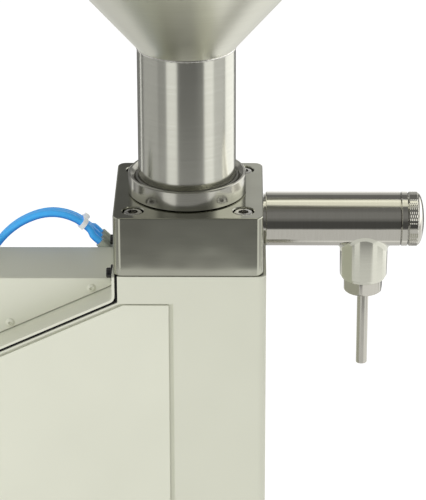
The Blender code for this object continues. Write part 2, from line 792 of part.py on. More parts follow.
def wall_plate(name, left, half_width, low, high):
    """A level plate in the column, rounded to clear the bends of its right wall."""
    corner = SHEET_BEND - FIT
    right = CABINET_RIGHT - SHEET - FIT - corner
    quarter = math.pi / 2
    side = half_width - corner
    outline = [(left, half_width), (left, -half_width)]
    outline += arc(right, -side, corner, -quarter, 0, ARC_STEPS)
    outline += arc(right, side, corner, 0, quarter, ARC_STEPS)
    return plate(name, [outline], high - low, ALUMINIUM, (0, 0, (low + high) / 2))


def make_top_plate():
    """The plate in the column's top, bored for the metering cylinder and its flange."""
    low = COLUMN_TOP - TOP_PLATE_THICKNESS
    wall = HALF_DEPTH - SHEET - FIT
    top_plate = wall_plate("column_top_plate", TOP_PLATE_LEFT, wall, low, COLUMN_TOP)
    flange = METERING_FLANGE_RADIUS + FIT
    bore = BORE_RADIUS + METERING_WALL + FIT
    step = COLUMN_TOP - METERING_FLANGE_HEIGHT - FIT
    bottom = low - OVERRUN
    profile = [(0, COLUMN_TOP + OVERRUN), (flange, COLUMN_TOP + OVERRUN), (flange, step)]
    profile += [(bore, step), (bore, bottom), (0, bottom)]
    cut = turned("plate_bore", profile, None, (0, 0, 0), steps=INNER_STEPS, cutter=True)
    combine(top_plate, cut)
    hole = SCREW_SHANK_RADIUS + FIT
    above = COLUMN_TOP + OVERRUN
    profile = [(0, above), (hole, above), (hole, bottom), (0, bottom)]
    for i, (x, y) in enumerate(screw_places(), 1):
        cut = turned(f"plate_hole_{i}", profile, None, (x, y, 0), steps=SMALL_STEPS, cutter=True)
        combine(top_plate, cut)


def make_block():
    """The polished block with its valve chamber, inlet, side port and counterbored holes."""
    half = BLOCK_SIDE / 2
    outline = rounded_rectangle(-half, -half, half, half, BLOCK_CORNER)
    middle = (BLOCK_CENTRE_X, 0, BLOCK_BOTTOM + BLOCK_HEIGHT / 2)
    block = plate("valve_block", [outline], BLOCK_HEIGHT, POLISHED_STEEL, middle)
    break_edges(block, BLOCK_EDGE)
    top = BLOCK_TOP + OVERRUN
    bottom = BLOCK_BOTTOM - OVERRUN
    seat = INLET_RADIUS + POPPET_SEAT_RISE
    chamber = [(0, top), (INLET_RADIUS, top), (INLET_RADIUS, CHAMBER_TOP + POPPET_SEAT_RISE)]
    chamber += [(seat, CHAMBER_TOP), (BORE_RADIUS, CHAMBER_TOP), (BORE_RADIUS, bottom), (0, bottom)]
    combine(block, turned("chamber_cut", chamber, None, (0, 0, 0), cutter=True))

    shoulder = BLOCK_RIGHT - ARM_SPIGOT_LENGTH
    socket = ARM_SPIGOT_RADIUS + FIT
    outside = BLOCK_RIGHT + OVERRUN
    port = [(0, outside), (socket, outside), (socket, shoulder), (ARM_BORE_RADIUS, shoulder)]
    port += [(ARM_BORE_RADIUS, 0), (0, 0)]
    combine(block, turned("port_cut", port, None, (0, 0, ARM_Z), RIGHT, cutter=True))

    floor = BLOCK_TOP - SCREW_HEAD_HEIGHT - FIT - SCREW_EDGE
    hole = SCREW_SHANK_RADIUS + FIT
    profile = [(0, top), (COUNTERBORE_RADIUS, top), (COUNTERBORE_RADIUS, floor), (hole, floor)]
    profile += [(hole, bottom), (0, bottom)]
    for i, (x, y) in enumerate(screw_places(), 1):
        cut = turned(f"screw_cut_{i}", profile, None, (x, y, 0), steps=SMALL_STEPS, cutter=True)
        combine(block, cut)


def make_block_screws():
    """Four socket head screws that hold the block to the column's top plate."""
    seat = BLOCK_TOP - SCREW_HEAD_HEIGHT - SCREW_EDGE
    head = seat + SCREW_HEAD_HEIGHT
    end = BLOCK_BOTTOM - FIT - SCREW_GRIP
    rim = SCREW_HEAD_RADIUS - SCREW_EDGE
    profile = [(0, head), (rim, head), (SCREW_HEAD_RADIUS, head - SCREW_EDGE)]
    profile += [(SCREW_HEAD_RADIUS, seat), (SCREW_SHANK_RADIUS, seat)]
    profile += [(SCREW_SHANK_RADIUS, end), (0, end)]
    floor = head - SCREW_SOCKET_DEPTH
    radius = SCREW_SOCKET_RADIUS
    socket = [(0, head + OVERRUN), (radius, head + OVERRUN), (radius, floor), (0, floor)]
    for i, (x, y) in enumerate(screw_places(), 1):
        screw = turned(f"block_screw_{i}", profile, BRIGHT_STEEL, (x, y, 0), steps=SMALL_STEPS)
        combine(screw, turned(f"socket_cut_{i}", socket, None, (x, y, 0), steps=HEX, cutter=True))


def make_hopper():
    """Funnel, straight wall and rolled rim, and the neck tube that is welded under them."""
    foot = BLOCK_TOP + FIT
    seam = BLOCK_TOP + NECK_HEIGHT
    cone_height = (HOPPER_RADIUS - NECK_RADIUS) / math.tan(HOPPER_CONE_ANGLE)
    shoulder = seam + cone_height
    top = shoulder + HOPPER_WALL_HEIGHT
    inner = HOPPER_RADIUS - HOPPER_SHEET
    bead_end = -math.acos((HOPPER_SHEET - HOPPER_BEAD) / HOPPER_BEAD)
    centre = inner + HOPPER_BEAD
    profile = arc(centre, top, HOPPER_BEAD, math.pi, bead_end, HOPPER_BEAD_STEPS)
    profile += [(HOPPER_RADIUS, shoulder), (NECK_RADIUS, seam)]
    profile += [(NECK_RADIUS - HOPPER_SHEET, seam), (inner, shoulder)]
    turned("hopper", profile, SATIN_STEEL, (0, 0, 0), steps=HOPPER_STEPS)
    bore = NECK_RADIUS - NECK_WALL
    high = seam - FIT
    tube_wall = [(NECK_RADIUS, high), (NECK_RADIUS, foot), (bore, foot), (bore, high)]
    turned("neck_tube", tube_wall, SATIN_STEEL, (0, 0, 0), steps=HOPPER_STEPS)


def make_collar():
    """The collar that takes the neck tube, open at the top for its O-ring."""
    low = BLOCK_TOP + FIT
    high = low + COLLAR_HEIGHT
    bore = NECK_RADIUS + FIT
    profile = [(COLLAR_RADIUS - COLLAR_EDGE, high), (COLLAR_RADIUS, high - COLLAR_EDGE)]
    profile += [(COLLAR_RADIUS, low), (bore, low), (bore, high - COLLAR_LIP)]
    profile += [(bore + COLLAR_LIP, high)]
    turned("neck_collar", profile, POLISHED_STEEL, (0, 0, 0), steps=HOPPER_STEPS)
    section = NECK_ORING_SECTION
    centre = high - COLLAR_LIP + section + math.sqrt(2) * (section + FIT)
    start = math.pi / 2
    ring = arc(bore + section, centre, section, start, start - 2 * math.pi, HEX)[:-1]
    turned("neck_oring", ring, RUBBER, (0, 0, 0))


def make_inlet_valve():
    """Guide spider, poppet, keeper and spring. The poppet opens downwards into the chamber."""
    low = BLOCK_TOP + FIT
    high = low + GUIDE_HEIGHT
    rim = NECK_RADIUS - NECK_WALL - FIT
    ring = [(rim, high), (rim, low), (rim - GUIDE_RING, low), (rim - GUIDE_RING, high)]
    guide = turned("inlet_guide", ring, BRIGHT_STEEL, (0, 0, 0))
    hole = POPPET_STEM_RADIUS + FIT
    boss = [(GUIDE_BOSS_RADIUS, high), (GUIDE_BOSS_RADIUS, low), (hole, low), (hole, high)]
    hub = turned("guide_boss", boss, None, (0, 0, 0), steps=SMALL_STEPS, cutter=True)
    combine(guide, hub, "UNION")
    reach = rim - GUIDE_RING / 2
    start = (GUIDE_BOSS_RADIUS + hole) / 2
    for i in range(GUIDE_ARMS):
        half = GUIDE_ARM_WIDTH / 2
        arm_low = (start, -half, low + FIT)
        arm = box(f"guide_arm_{i + 1}", arm_low, (reach, half, high - FIT), None, cutter=True)
        turn = 2 * math.pi * i / GUIDE_ARMS
        middle = (start + reach) / 2
        arm.location.x = middle * math.cos(turn)
        arm.location.y = middle * math.sin(turn)
        arm.rotation_euler.z = turn
        combine(guide, arm, "UNION")

    face = CHAMBER_TOP - FIT
    spring_top = high + FIT + INLET_SPRING_LENGTH + 2 * VALVE_SPRING_WIRE
    stem_top = spring_top + FIT + KEEPER_HEIGHT
    under = face - POPPET_THICKNESS
    profile = [(0, stem_top), (POPPET_STEM_RADIUS, stem_top), (POPPET_STEM_RADIUS, face)]
    profile += [(POPPET_RADIUS, face), (POPPET_RADIUS, under), (0, under)]
    turned("inlet_poppet", profile, BRIGHT_STEEL, (0, 0, 0), steps=INNER_STEPS)
    keeper_low = spring_top + FIT
    full = 2 * math.pi
    outlines = [arc(0, 0, KEEPER_RADIUS, 0, full, HEX)[:-1]]
    outlines.append(arc(0, 0, POPPET_STEM_RADIUS + FIT, 0, full, SMALL_STEPS)[:-1])
    middle = keeper_low + KEEPER_HEIGHT / 2
    plate("inlet_keeper", outlines, KEEPER_HEIGHT, BRIGHT_STEEL, (0, 0, middle))
    helix = spring_points(INLET_SPRING_RADIUS, INLET_SPRING_LENGTH, INLET_SPRING_TURNS)
    base = (0, 0, high + FIT + VALVE_SPRING_WIRE)
    tube("inlet_spring", helix, VALVE_SPRING_WIRE, BRIGHT_STEEL, 1, base)
    report_spring_gap("inlet_spring", helix)


def make_metering_cylinder():
    """Flanged cylinder under the block."""
    top = COLUMN_TOP
    outer = BORE_RADIUS + METERING_WALL
    under = top - METERING_FLANGE_HEIGHT
    bottom = top - METERING_LENGTH
    profile = [(METERING_FLANGE_RADIUS, top), (METERING_FLANGE_RADIUS, under), (outer, under)]
    profile += [(outer, bottom), (BORE_RADIUS, bottom), (BORE_RADIUS, top)]
    turned("metering_cylinder", profile, SATIN_STEEL, (0, 0, 0), steps=INNER_STEPS)


def make_metering_piston():
    """Piston with two seals, its rod and the coupling to the air cylinder's rod."""
    top = COLUMN_TOP - PISTON_TOP_CLEARANCE - PISTON_STROKE
    bottom = top - PISTON_HEIGHT
    outer = BORE_RADIUS - FIT
    floor = BORE_RADIUS - PISTON_SEAL_CLEARANCE - PISTON_SEAL_DEPTH - FIT
    profile = [(0, top), (outer, top)]
    seals = []
    for i in range(2):
        high = top - PISTON_SEAL_FIRST - i * PISTON_SEAL_PITCH
        low = high - PISTON_SEAL_WIDTH - 2 * FIT
        profile += [(outer, high), (floor, high), (floor, low), (outer, low)]
        seals.append((high - FIT, low + FIT))
    socket = ROD_SPIGOT_RADIUS + FIT
    blind = bottom + ROD_SPIGOT_LENGTH + FIT
    profile += [(outer, bottom), (socket, bottom), (socket, blind), (0, blind)]
    turned("metering_piston", profile, BRIGHT_STEEL, (0, 0, 0), steps=INNER_STEPS)
    rim = BORE_RADIUS - PISTON_SEAL_CLEARANCE
    for name, (high, low) in zip(("upper", "lower"), seals):
        ring = [(rim, high), (rim, low), (floor + FIT, low), (floor + FIT, high)]
        turned(f"piston_seal_{name}", ring, FOOD_SEAL, (0, 0, 0), steps=INNER_STEPS)

    rod_top = bottom - FIT
    rod_bottom = rod_top - ROD_LENGTH
    spigot = rod_top + ROD_SPIGOT_LENGTH
    profile = [(0, spigot), (ROD_SPIGOT_RADIUS, spigot), (ROD_SPIGOT_RADIUS, rod_top)]
    profile += [(ROD_RADIUS, rod_top), (ROD_RADIUS, rod_bottom), (0, rod_bottom)]
    turned("piston_rod", profile, BRIGHT_STEEL, (0, 0, 0), steps=SMALL_STEPS)

    middle = rod_bottom - FIT
    high = middle + COUPLING_LENGTH / 2
    low = middle - COUPLING_LENGTH / 2
    bore = ROD_RADIUS + FIT
    wide = COUPLING_RADIUS
    profile = [(wide - COUPLING_EDGE, high), (wide, high - COUPLING_EDGE), (wide, low + COUPLING_EDGE)]
    profile += [(wide - COUPLING_EDGE, low), (bore, low), (bore, high)]
    turned("rod_coupling", profile, BRIGHT_STEEL, (0, 0, 0), steps=SMALL_STEPS)
    return middle - FIT, low


def make_air_cylinder(rod_top, coupling_low):
    """Mounting plate, caps, barrel, piston and through rod of the air cylinder."""
    plate_top = coupling_low - MOUNT_PLATE_GAP
    plate_low = plate_top - MOUNT_PLATE_THICKNESS
    between_lips = HALF_DEPTH - SHEET + LIP_OVERLAP - LIP_THICKNESS - FIT
    mount = wall_plate("cylinder_mount_plate", MOUNT_PLATE_LEFT, between_lips, plate_low, plate_top)
    bore = ROD_RADIUS + FIT
    hole = [(0, plate_top + OVERRUN), (bore + FIT, plate_top + OVERRUN)]
    hole += [(bore + FIT, plate_low - OVERRUN), (0, plate_low - OVERRUN)]
    combine(mount, turned("mount_hole", hole, None, (0, 0, 0), steps=SMALL_STEPS, cutter=True))

    stroke_room = PISTON_STROKE + AIR_PISTON_HEIGHT + 2 * AIR_PISTON_MARGIN
    head_top = plate_low - FIT
    head_low = head_top - AIR_CAP_HEIGHT
    base_top = head_low - stroke_room
    base_low = base_top - AIR_CAP_HEIGHT
    recess = AIR_BORE_RADIUS + AIR_WALL + FIT
    edge = AIR_CAP_RADIUS - AIR_CAP_EDGE
    head = [(edge, head_top), (AIR_CAP_RADIUS, head_top - AIR_CAP_EDGE)]
    head += [(AIR_CAP_RADIUS, head_low - AIR_CAP_SKIRT), (recess, head_low - AIR_CAP_SKIRT)]
    head += [(recess, head_low), (bore, head_low), (bore, head_top)]
    turned("air_cylinder_head", head, ALUMINIUM, (0, 0, 0), steps=INNER_STEPS)
    base = [(AIR_CAP_RADIUS, base_top + AIR_CAP_SKIRT), (AIR_CAP_RADIUS, base_low + AIR_CAP_EDGE)]
    base += [(edge, base_low), (bore, base_low), (bore, base_top), (recess, base_top)]
    base += [(recess, base_top + AIR_CAP_SKIRT)]
    turned("air_cylinder_base", base, ALUMINIUM, (0, 0, 0), steps=INNER_STEPS)
    outer = AIR_BORE_RADIUS + AIR_WALL
    barrel = [(outer, head_low - FIT), (outer, base_top + FIT)]
    barrel += [(AIR_BORE_RADIUS, base_top + FIT), (AIR_BORE_RADIUS, head_low - FIT)]
    turned("air_cylinder_barrel", barrel, ALUMINIUM, (0, 0, 0), steps=INNER_STEPS)

    piston_low = base_top + AIR_PISTON_MARGIN
    piston_top = piston_low + AIR_PISTON_HEIGHT
    rim = AIR_BORE_RADIUS - FIT
    piston = [(rim, piston_top), (rim, piston_low), (bore, piston_low), (bore, piston_top)]
    turned("air_piston", piston, BLACK_PLASTIC, (0, 0, 0), steps=INNER_STEPS)

    nut_top = base_low - PISTON_STROKE - DOSE_STOP_GAP
    nut_low = nut_top - DOSE_NUT_HEIGHT
    tail = nut_low - ROD_TAIL
    rod = [(0, rod_top), (ROD_RADIUS, rod_top), (ROD_RADIUS, tail), (0, tail)]
    turned("air_cylinder_rod", rod, BRIGHT_STEEL, (0, 0, 0), steps=SMALL_STEPS)
    outlines = [grip_outline(DOSE_NUT_RADIUS, DOSE_NUT_GRIP_DEPTH, DOSE_NUT_GRIPS)]
    outlines.append(arc(0, 0, bore, 0, 2 * math.pi, SMALL_STEPS)[:-1])
    place = (0, 0, nut_low + DOSE_NUT_HEIGHT / 2)
    plate("dose_nut", outlines, DOSE_NUT_HEIGHT, BLACK_PLASTIC, place)


def make_arm():
    """Discharge arm with its valve seat, and the drop body welded under it."""
    start = BLOCK_RIGHT - ARM_SPIGOT_LENGTH + FIT
    face = BLOCK_RIGHT + FIT
    groove = face + ARM_GROOVE_WIDTH
    seat = ARM_SEAT_X
    throat = ARM_BORE_RADIUS + ARM_SEAT_RISE
    profile = [(0, ARM_END_X), (ARM_RADIUS, ARM_END_X), (ARM_RADIUS, groove)]
    profile += [(ARM_GROOVE_RADIUS, groove), (ARM_GROOVE_RADIUS, face), (ARM_SPIGOT_RADIUS, face)]
    profile += [(ARM_SPIGOT_RADIUS, start), (0, start)]
    arm = turned("discharge_arm", profile, POLISHED_STEEL, (0, 0, ARM_Z), RIGHT, ARM_STEPS)

    low = -DROP_LENGTH
    foot = low - DROP_STEP_HEIGHT
    stem = [(0, 0), (DROP_RADIUS, 0), (DROP_RADIUS, low), (DROP_STEP_RADIUS, low)]
    stem += [(DROP_STEP_RADIUS, foot), (0, foot)]
    place = (DROP_X, 0, ARM_Z)
    combine(arm, turned("drop_body", stem, None, place, steps=ARM_STEPS, cutter=True), "UNION")
    outside = ARM_END_X + OVERRUN
    inside = start - OVERRUN
    bore = [(0, outside), (ARM_CHAMBER_RADIUS, outside), (ARM_CHAMBER_RADIUS, seat + ARM_SEAT_RISE)]
    bore += [(throat, seat + ARM_SEAT_RISE), (ARM_BORE_RADIUS, seat), (ARM_BORE_RADIUS, inside)]
    bore += [(0, inside)]
    combine(arm, turned("arm_bore", bore, None, (0, 0, ARM_Z), RIGHT, cutter=True))
    drop = [(0, 0), (DROP_BORE_RADIUS, 0), (DROP_BORE_RADIUS, foot - OVERRUN), (0, foot - OVERRUN)]
    combine(arm, turned("drop_bore", drop, None, place, cutter=True))


def make_nozzle():
    """Nozzle nut and tube under the drop body."""
    top = ARM_Z - DROP_LENGTH - DROP_STEP_HEIGHT - FIT
    low = top - NUT_HEIGHT
    spigot = DROP_BORE_RADIUS - FIT
    spigot_top = top + NUT_SPIGOT_LENGTH
    hole = NOZZLE_RADIUS + FIT
    inner = spigot - NUT_SPIGOT_WALL
    floor = low + NUT_FLOOR
    profile = [(spigot, spigot_top), (spigot, top), (NUT_RADIUS, top)]
    quarter = math.pi / 2
    profile += arc(NUT_RADIUS - NUT_ROUND, low + NUT_ROUND, NUT_ROUND, 0, -quarter, ARC_STEPS)
    profile += [(hole, low), (hole, floor), (inner, floor), (inner, spigot_top)]
    turned("nozzle_nut", profile, POLISHED_STEEL, (DROP_X, 0, 0))
    flange_low = floor + FIT
    flange_top = flange_low + NOZZLE_FLANGE_HEIGHT
    tip = low - NOZZLE_REACH
    bore = NOZZLE_RADIUS - NOZZLE_WALL
    flange = inner - FIT
    profile = [(flange, flange_top), (flange, flange_low), (NOZZLE_RADIUS, flange_low)]
    profile += [(NOZZLE_RADIUS, tip), (bore, tip), (bore, flange_top)]
    turned("nozzle", profile, POLISHED_STEEL, (DROP_X, 0, 0), steps=INNER_STEPS)


def make_arm_end():
    """End ring, knurled cap with its plug, and the outlet valve that the cap guides."""
    ring_start = ARM_END_X + FIT
    ring_end = ring_start + END_RING_WIDTH
    plug = ARM_CHAMBER_RADIUS - FIT
    ring_bore = plug + FIT
    ring = [(END_RING_RADIUS, ring_end), (END_RING_RADIUS, ring_start)]
    ring += [(ring_bore, ring_start), (ring_bore, ring_end)]
    turned("arm_end_ring", ring, POLISHED_STEEL, (0, 0, ARM_Z), RIGHT, ARM_STEPS)

    cap_start = ring_end + CAP_GAP
    grip_end = cap_start + CAP_GRIP_WIDTH
    plug_start = ARM_END_X - CAP_PLUG_REACH
    dome = []
    for i in range(CAP_DOME_STEPS + 1):
        angle = math.pi / 2 * (1 - i / CAP_DOME_STEPS)
        dome.append((END_RING_RADIUS * math.cos(angle), grip_end + CAP_DOME * math.sin(angle)))
    profile = [(0, grip_end + CAP_DOME)] + dome[1:]
    profile += [(END_RING_RADIUS, cap_start), (plug, cap_start), (plug, plug_start)]
    profile += [(CAP_GUIDE_RADIUS, plug_start), (CAP_GUIDE_RADIUS, grip_end), (0, grip_end)]
    turned("arm_cap", profile, POLISHED_STEEL, (0, 0, ARM_Z), RIGHT, ARM_STEPS)

    nose = ARM_SEAT_X + FIT
    shoulder = nose + ARM_SEAT_RISE
    back = shoulder + OUTLET_POPPET_THICKNESS
    stem_end = grip_end - OUTLET_TRAVEL - OUTLET_STEM_END_GAP
    nose_radius = OUTLET_POPPET_RADIUS - ARM_SEAT_RISE - FIT
    profile = [(0, stem_end), (OUTLET_STEM_RADIUS, stem_end), (OUTLET_STEM_RADIUS, back)]
    profile += [(OUTLET_POPPET_RADIUS, back), (OUTLET_POPPET_RADIUS, shoulder + FIT)]
    profile += [(nose_radius, nose), (0, nose)]
    turned("outlet_poppet", profile, BRIGHT_STEEL, (0, 0, ARM_Z), RIGHT, INNER_STEPS)
    first = back + FIT + VALVE_SPRING_WIRE
    length = plug_start - FIT - VALVE_SPRING_WIRE - first
    helix = spring_points(OUTLET_SPRING_RADIUS, length, OUTLET_SPRING_TURNS)
    tube("outlet_spring", helix, VALVE_SPRING_WIRE, BRIGHT_STEEL, 1, (first, 0, ARM_Z), RIGHT)
    report_spring_gap("outlet_spring", helix)


def make_controls():
    """Start button, mode switch and regulator on the hood, and the gauge on its end panel."""
    low = HOOD_TOP + FIT
    bezel_bore = BUTTON_RADIUS + FIT
    bezel_top = low + BEZEL_HEIGHT
    bezel = [(BEZEL_RADIUS - CONTROL_EDGE, bezel_top), (BEZEL_RADIUS, bezel_top - CONTROL_EDGE)]
    bezel += [(BEZEL_RADIUS, low), (bezel_bore, low), (bezel_bore, bezel_top)]
    turned("button_bezel", bezel, BRIGHT_STEEL, (BUTTON_X, 0, 0), steps=SMALL_STEPS)
    under = low + BUTTON_TRAVEL + FIT
    top = under + BUTTON_HEIGHT
    stem_low = under - BUTTON_STEM_LENGTH
    button = [(0, top), (BUTTON_RADIUS - CONTROL_EDGE, top), (BUTTON_RADIUS, top - CONTROL_EDGE)]
    button += [(BUTTON_RADIUS, under), (BUTTON_STEM_RADIUS, under), (BUTTON_STEM_RADIUS, stem_low)]
    button += [(0, stem_low)]
    turned("start_button", button, GREEN_PLASTIC, (BUTTON_X, 0, 0), steps=SMALL_STEPS)

    skirt_top = low + SWITCH_SKIRT
    grip_top = skirt_top + SWITCH_GRIP_HEIGHT
    shaft_low = low - OVERRUN
    skirt = [(0, skirt_top), (SWITCH_RADIUS, skirt_top), (SWITCH_RADIUS, low)]
    skirt += [(SWITCH_SHAFT_RADIUS, low), (SWITCH_SHAFT_RADIUS, shaft_low), (0, shaft_low)]
    switch = turned("mode_switch", skirt, BLACK_PLASTIC, (SWITCH_X, 0, 0), steps=SMALL_STEPS)
    reach = SWITCH_RADIUS - CONTROL_EDGE
    half = SWITCH_GRIP_WIDTH / 2
    grip_low = (SWITCH_X - reach, -half, skirt_top - CONTROL_EDGE)
    grip = box("switch_grip", grip_low, (SWITCH_X + reach, half, grip_top), None, cutter=True)
    combine(switch, grip, "UNION")

    half = REGULATOR_WIDTH / 2
    body_top = HOOD_TOP - HOOD_SHEET - FIT
    outer = (REGULATOR_X - half, -half, body_top - REGULATOR_HEIGHT)
    neck_top = low + REGULATOR_NECK_HEIGHT
    body = box("air_regulator", outer, (REGULATOR_X + half, half, body_top), ALUMINIUM)
    neck = [(0, neck_top), (REGULATOR_NECK_RADIUS, neck_top)]
    neck += [(REGULATOR_NECK_RADIUS, body_top - OVERRUN), (0, body_top - OVERRUN)]
    place = (REGULATOR_X, 0, 0)
    post = turned("regulator_post", neck, None, place, steps=SMALL_STEPS, cutter=True)
    combine(body, post, "UNION")
    outline = grip_outline(KNOB_RADIUS, KNOB_GRIP_DEPTH, KNOB_GRIPS)
    knob_middle = neck_top + FIT + KNOB_HEIGHT / 2
    plate("regulator_knob", [outline], KNOB_HEIGHT, BLACK_PLASTIC, (REGULATOR_X, 0, knob_middle))

    start = PANEL_THICKNESS + 2 * FIT - HOOD_LEFT
    end = start + GAUGE_DEPTH
    rim = GAUGE_RADIUS - GAUGE_RIM
    dial = end - GAUGE_DIAL_DEPTH
    gauge = [(rim, end), (GAUGE_RADIUS, end - GAUGE_RIM), (GAUGE_RADIUS, start), (0, start)]
    gauge = [(0, dial), (rim, dial)] + gauge
    centre_z = HOOD_TOP - GAUGE_CENTRE_DROP
    turned("pressure_gauge", gauge, BRIGHT_STEEL, (0, 0, centre_z), LEFT)
    hub = [(0, dial + FIT + NEEDLE_HUB_HEIGHT), (NEEDLE_HUB_RADIUS, dial + FIT + NEEDLE_HUB_HEIGHT)]
    hub += [(NEEDLE_HUB_RADIUS, dial + FIT), (0, dial + FIT)]
    needle = turned("gauge_needle", hub, BLACK_PLASTIC, (0, 0, centre_z), LEFT, SMALL_STEPS)
    front = -(dial + FIT + NEEDLE_THICKNESS)
    half = NEEDLE_WIDTH / 2
    blade_low = (front, -half, -NEEDLE_LENGTH)
    blade = box("needle_blade", blade_low, (front + NEEDLE_THICKNESS, half, 0), None, cutter=True)
    blade.rotation_euler.x = NEEDLE_REST
    reach = NEEDLE_LENGTH / 2
    blade.location.y = reach * math.sin(NEEDLE_REST)
    blade.location.z = centre_z - reach * math.cos(NEEDLE_REST)
    combine(needle, blade, "UNION")


def make_air_supply():
    """Control valve on the base plate and the inlet coupling in the left end."""
    half = VALVE_LENGTH / 2
    side = VALVE_WIDTH / 2
    low = (VALVE_X - half, -side, CABINET_BOTTOM)
    high = (VALVE_X + half, side, CABINET_BOTTOM + VALVE_HEIGHT)
    box("control_valve", low, high, ALUMINIUM, VALVE_EDGE)
    start = -CABINET_LEFT + SHEET + 2 * FIT
    nut_end = start + AIR_INLET_NUT
    end = -INLET_END
    profile = [(AIR_INLET_SHANK, end), (AIR_INLET_SHANK, nut_end), (AIR_INLET_RADIUS, nut_end)]
    profile += [(AIR_INLET_RADIUS, start), (AIR_INLET_BORE, start), (AIR_INLET_BORE, end)]
    turned("air_inlet", profile, BRASS, (0, 0, INLET_HEIGHT), LEFT, SMALL_STEPS)


def ring_base(x, i):
    """Where the push-in ring of one hose stands on a rail."""
    y = HOSE_Y + (i - (HOSES - 1) / 2) * HOSE_SPACING
    return Vector((x, y, deck_top(x + RAIL_WIDTH / 2) + FIT + RAIL_HEIGHT))


def ring_way(lean):
    return Vector((math.sin(lean), 0, math.cos(lean)))


RAILS = (("right", RAIL_RIGHT_X, RAIL_RIGHT_LEAN), ("left", RAIL_LEFT_X, RAIL_LEFT_LEAN))


def make_fitting_rails():
    """Two rails on the deck, each with a push-in ring for every hose."""
    for name, x, lean in RAILS:
        left, right = x - RAIL_WIDTH / 2, x + RAIL_WIDTH / 2
        high = deck_top(right) + FIT + RAIL_HEIGHT
        outline = [(left, deck_top(left) + FIT), (right, deck_top(right) + FIT), (right, high)]
        outline.append((left, high))
        place = (0, HOSE_Y, 0)
        rail = plate(f"fitting_rail_{name}", [outline], RAIL_LENGTH, FITTING, place, FACING_Y)
        sunk = -RAIL_HEIGHT / 2
        ring = [(0, RING_LENGTH), (RING_RADIUS, RING_LENGTH), (RING_RADIUS, sunk), (0, sunk)]
        for i in range(HOSES):
            at = ring_base(x, i)
            made = turned(f"{name}_ring_{i + 1}", ring, None, at, (0, lean, 0), SMALL_STEPS, True)
            combine(rail, made, "UNION")


def smooth_line(points, pitch):
    """Evenly spaced points on a smooth curve through the given points."""
    ends = [2 * points[0] - points[1]] + points + [2 * points[-1] - points[-2]]
    fine = []
    for before, a, b, after in zip(ends, ends[1:], ends[2:], ends[3:]):
        for step in range(SMOOTH_STEPS):
            t = step / SMOOTH_STEPS
            fine.append(
                a
                + (b - before) * (t / 2)
                + (2 * before - 5 * a + 4 * b - after) * (t * t / 2)
                + (3 * a - before - 3 * b + after) * (t**3 / 2)
            )
    fine.append(points[-1])
    reach = [0.0]
    for a, b in zip(fine, fine[1:]):
        reach.append(reach[-1] + (b - a).length)
    count = max(2, round(reach[-1] / pitch))
    line = []
    i = 0
    for k in range(count + 1):
        target = reach[-1] * k / count
        while i < len(fine) - 2 and reach[i + 1] < target:
            i += 1
        share = (target - reach[i]) / (reach[i + 1] - reach[i])
        line.append(fine[i].lerp(fine[i + 1], min(share, 1)))
    return line


def hose_points(i):
    """The line of one hose, straight out of its ring at both ends and bundled in between."""
    side = i - (HOSES - 1) / 2
    ends = []
    for _, x, lean in RAILS:
        way = ring_way(lean)
        start = ring_base(x, i) + way * (RING_LENGTH + FIT)
        ends.append((start, start + way * HOSE_LEAD))
    points = [*ends[0]]
    for reach, drop in HOSE_ROUTE:
        y = HOSE_Y + side * HOSE_BUNDLE_SPACING
        z = BLOCK_TOP - drop - side * HOSE_BUNDLE_STEP
        points.append(Vector((JOINT_X - reach, y, z)))
    points += [ends[1][1], ends[1][0]]
    return smooth_line(points, HOSE_POINT_PITCH)


def make_hoses():
    for i in range(HOSES):
        tube(f"air_hose_{i + 1}", hose_points(i), HOSE_RADIUS, HOSE_BLUE)


def shade_round_pieces():
    """Smooth shading on every piece, with its edges kept sharp."""
    for obj in bpy.data.collections["paste_filling_machine"].objects:
        if obj.type == "MESH":
            obj.data.shade_smooth()
            obj.data.set_sharp_from_angle(angle=math.radians(30))


def make_machine():
    start_scene()
    make_feet()
    make_base_plate()
    make_cabinet()
    make_covers()
    make_deck()
    make_hood()
    make_top_plate()
    make_block()
    make_block_screws()
    make_hopper()
    make_collar()
    make_inlet_valve()
    make_metering_cylinder()
    make_air_cylinder(*make_metering_piston())
    make_arm()
    make_nozzle()
    make_arm_end()
    make_controls()
    make_air_supply()
    make_fitting_rails()
    make_hoses()
    shade_round_pieces()


make_machine()
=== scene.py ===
"""Desktop piston paste filling machine in a plain studio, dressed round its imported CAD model.

Numbers are millimetres. X is measured from the hopper's axis towards the nozzle, Y away from the
operator, and Z up from the table, as the CAD model has them.
"""

import math

import bmesh
import bpy
from mathutils import Matrix, Vector


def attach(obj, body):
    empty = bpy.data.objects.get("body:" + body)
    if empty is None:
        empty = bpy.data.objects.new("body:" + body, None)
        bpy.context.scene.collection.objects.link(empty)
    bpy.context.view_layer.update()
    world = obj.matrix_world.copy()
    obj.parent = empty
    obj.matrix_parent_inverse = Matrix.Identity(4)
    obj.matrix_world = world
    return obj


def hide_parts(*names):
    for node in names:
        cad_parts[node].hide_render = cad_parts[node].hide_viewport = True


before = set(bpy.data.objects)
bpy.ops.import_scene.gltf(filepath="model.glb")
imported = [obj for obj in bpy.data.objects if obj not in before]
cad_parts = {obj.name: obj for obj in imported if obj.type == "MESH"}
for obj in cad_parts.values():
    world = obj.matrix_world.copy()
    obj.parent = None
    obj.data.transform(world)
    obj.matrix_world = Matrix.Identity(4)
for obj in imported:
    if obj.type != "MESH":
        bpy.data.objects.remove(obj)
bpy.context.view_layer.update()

MM = 0.001
ROUND = 2 * math.pi

# Where the hopper's axis stands, and the heights of the block and the arm
AXIS_X = 32.5
BLOCK_LOW = 300.3
BLOCK_TOP = 332.8
ARM_Z = 316.6

# The slanted deck, from the corner where its sheet turns upright, and the hood on it
CORNER_X = -36.5
CORNER_Z = 285.7
SLOPE = math.tan(math.radians(24.8))
SHEET = 2.42
HOOD_HALF = 20.75

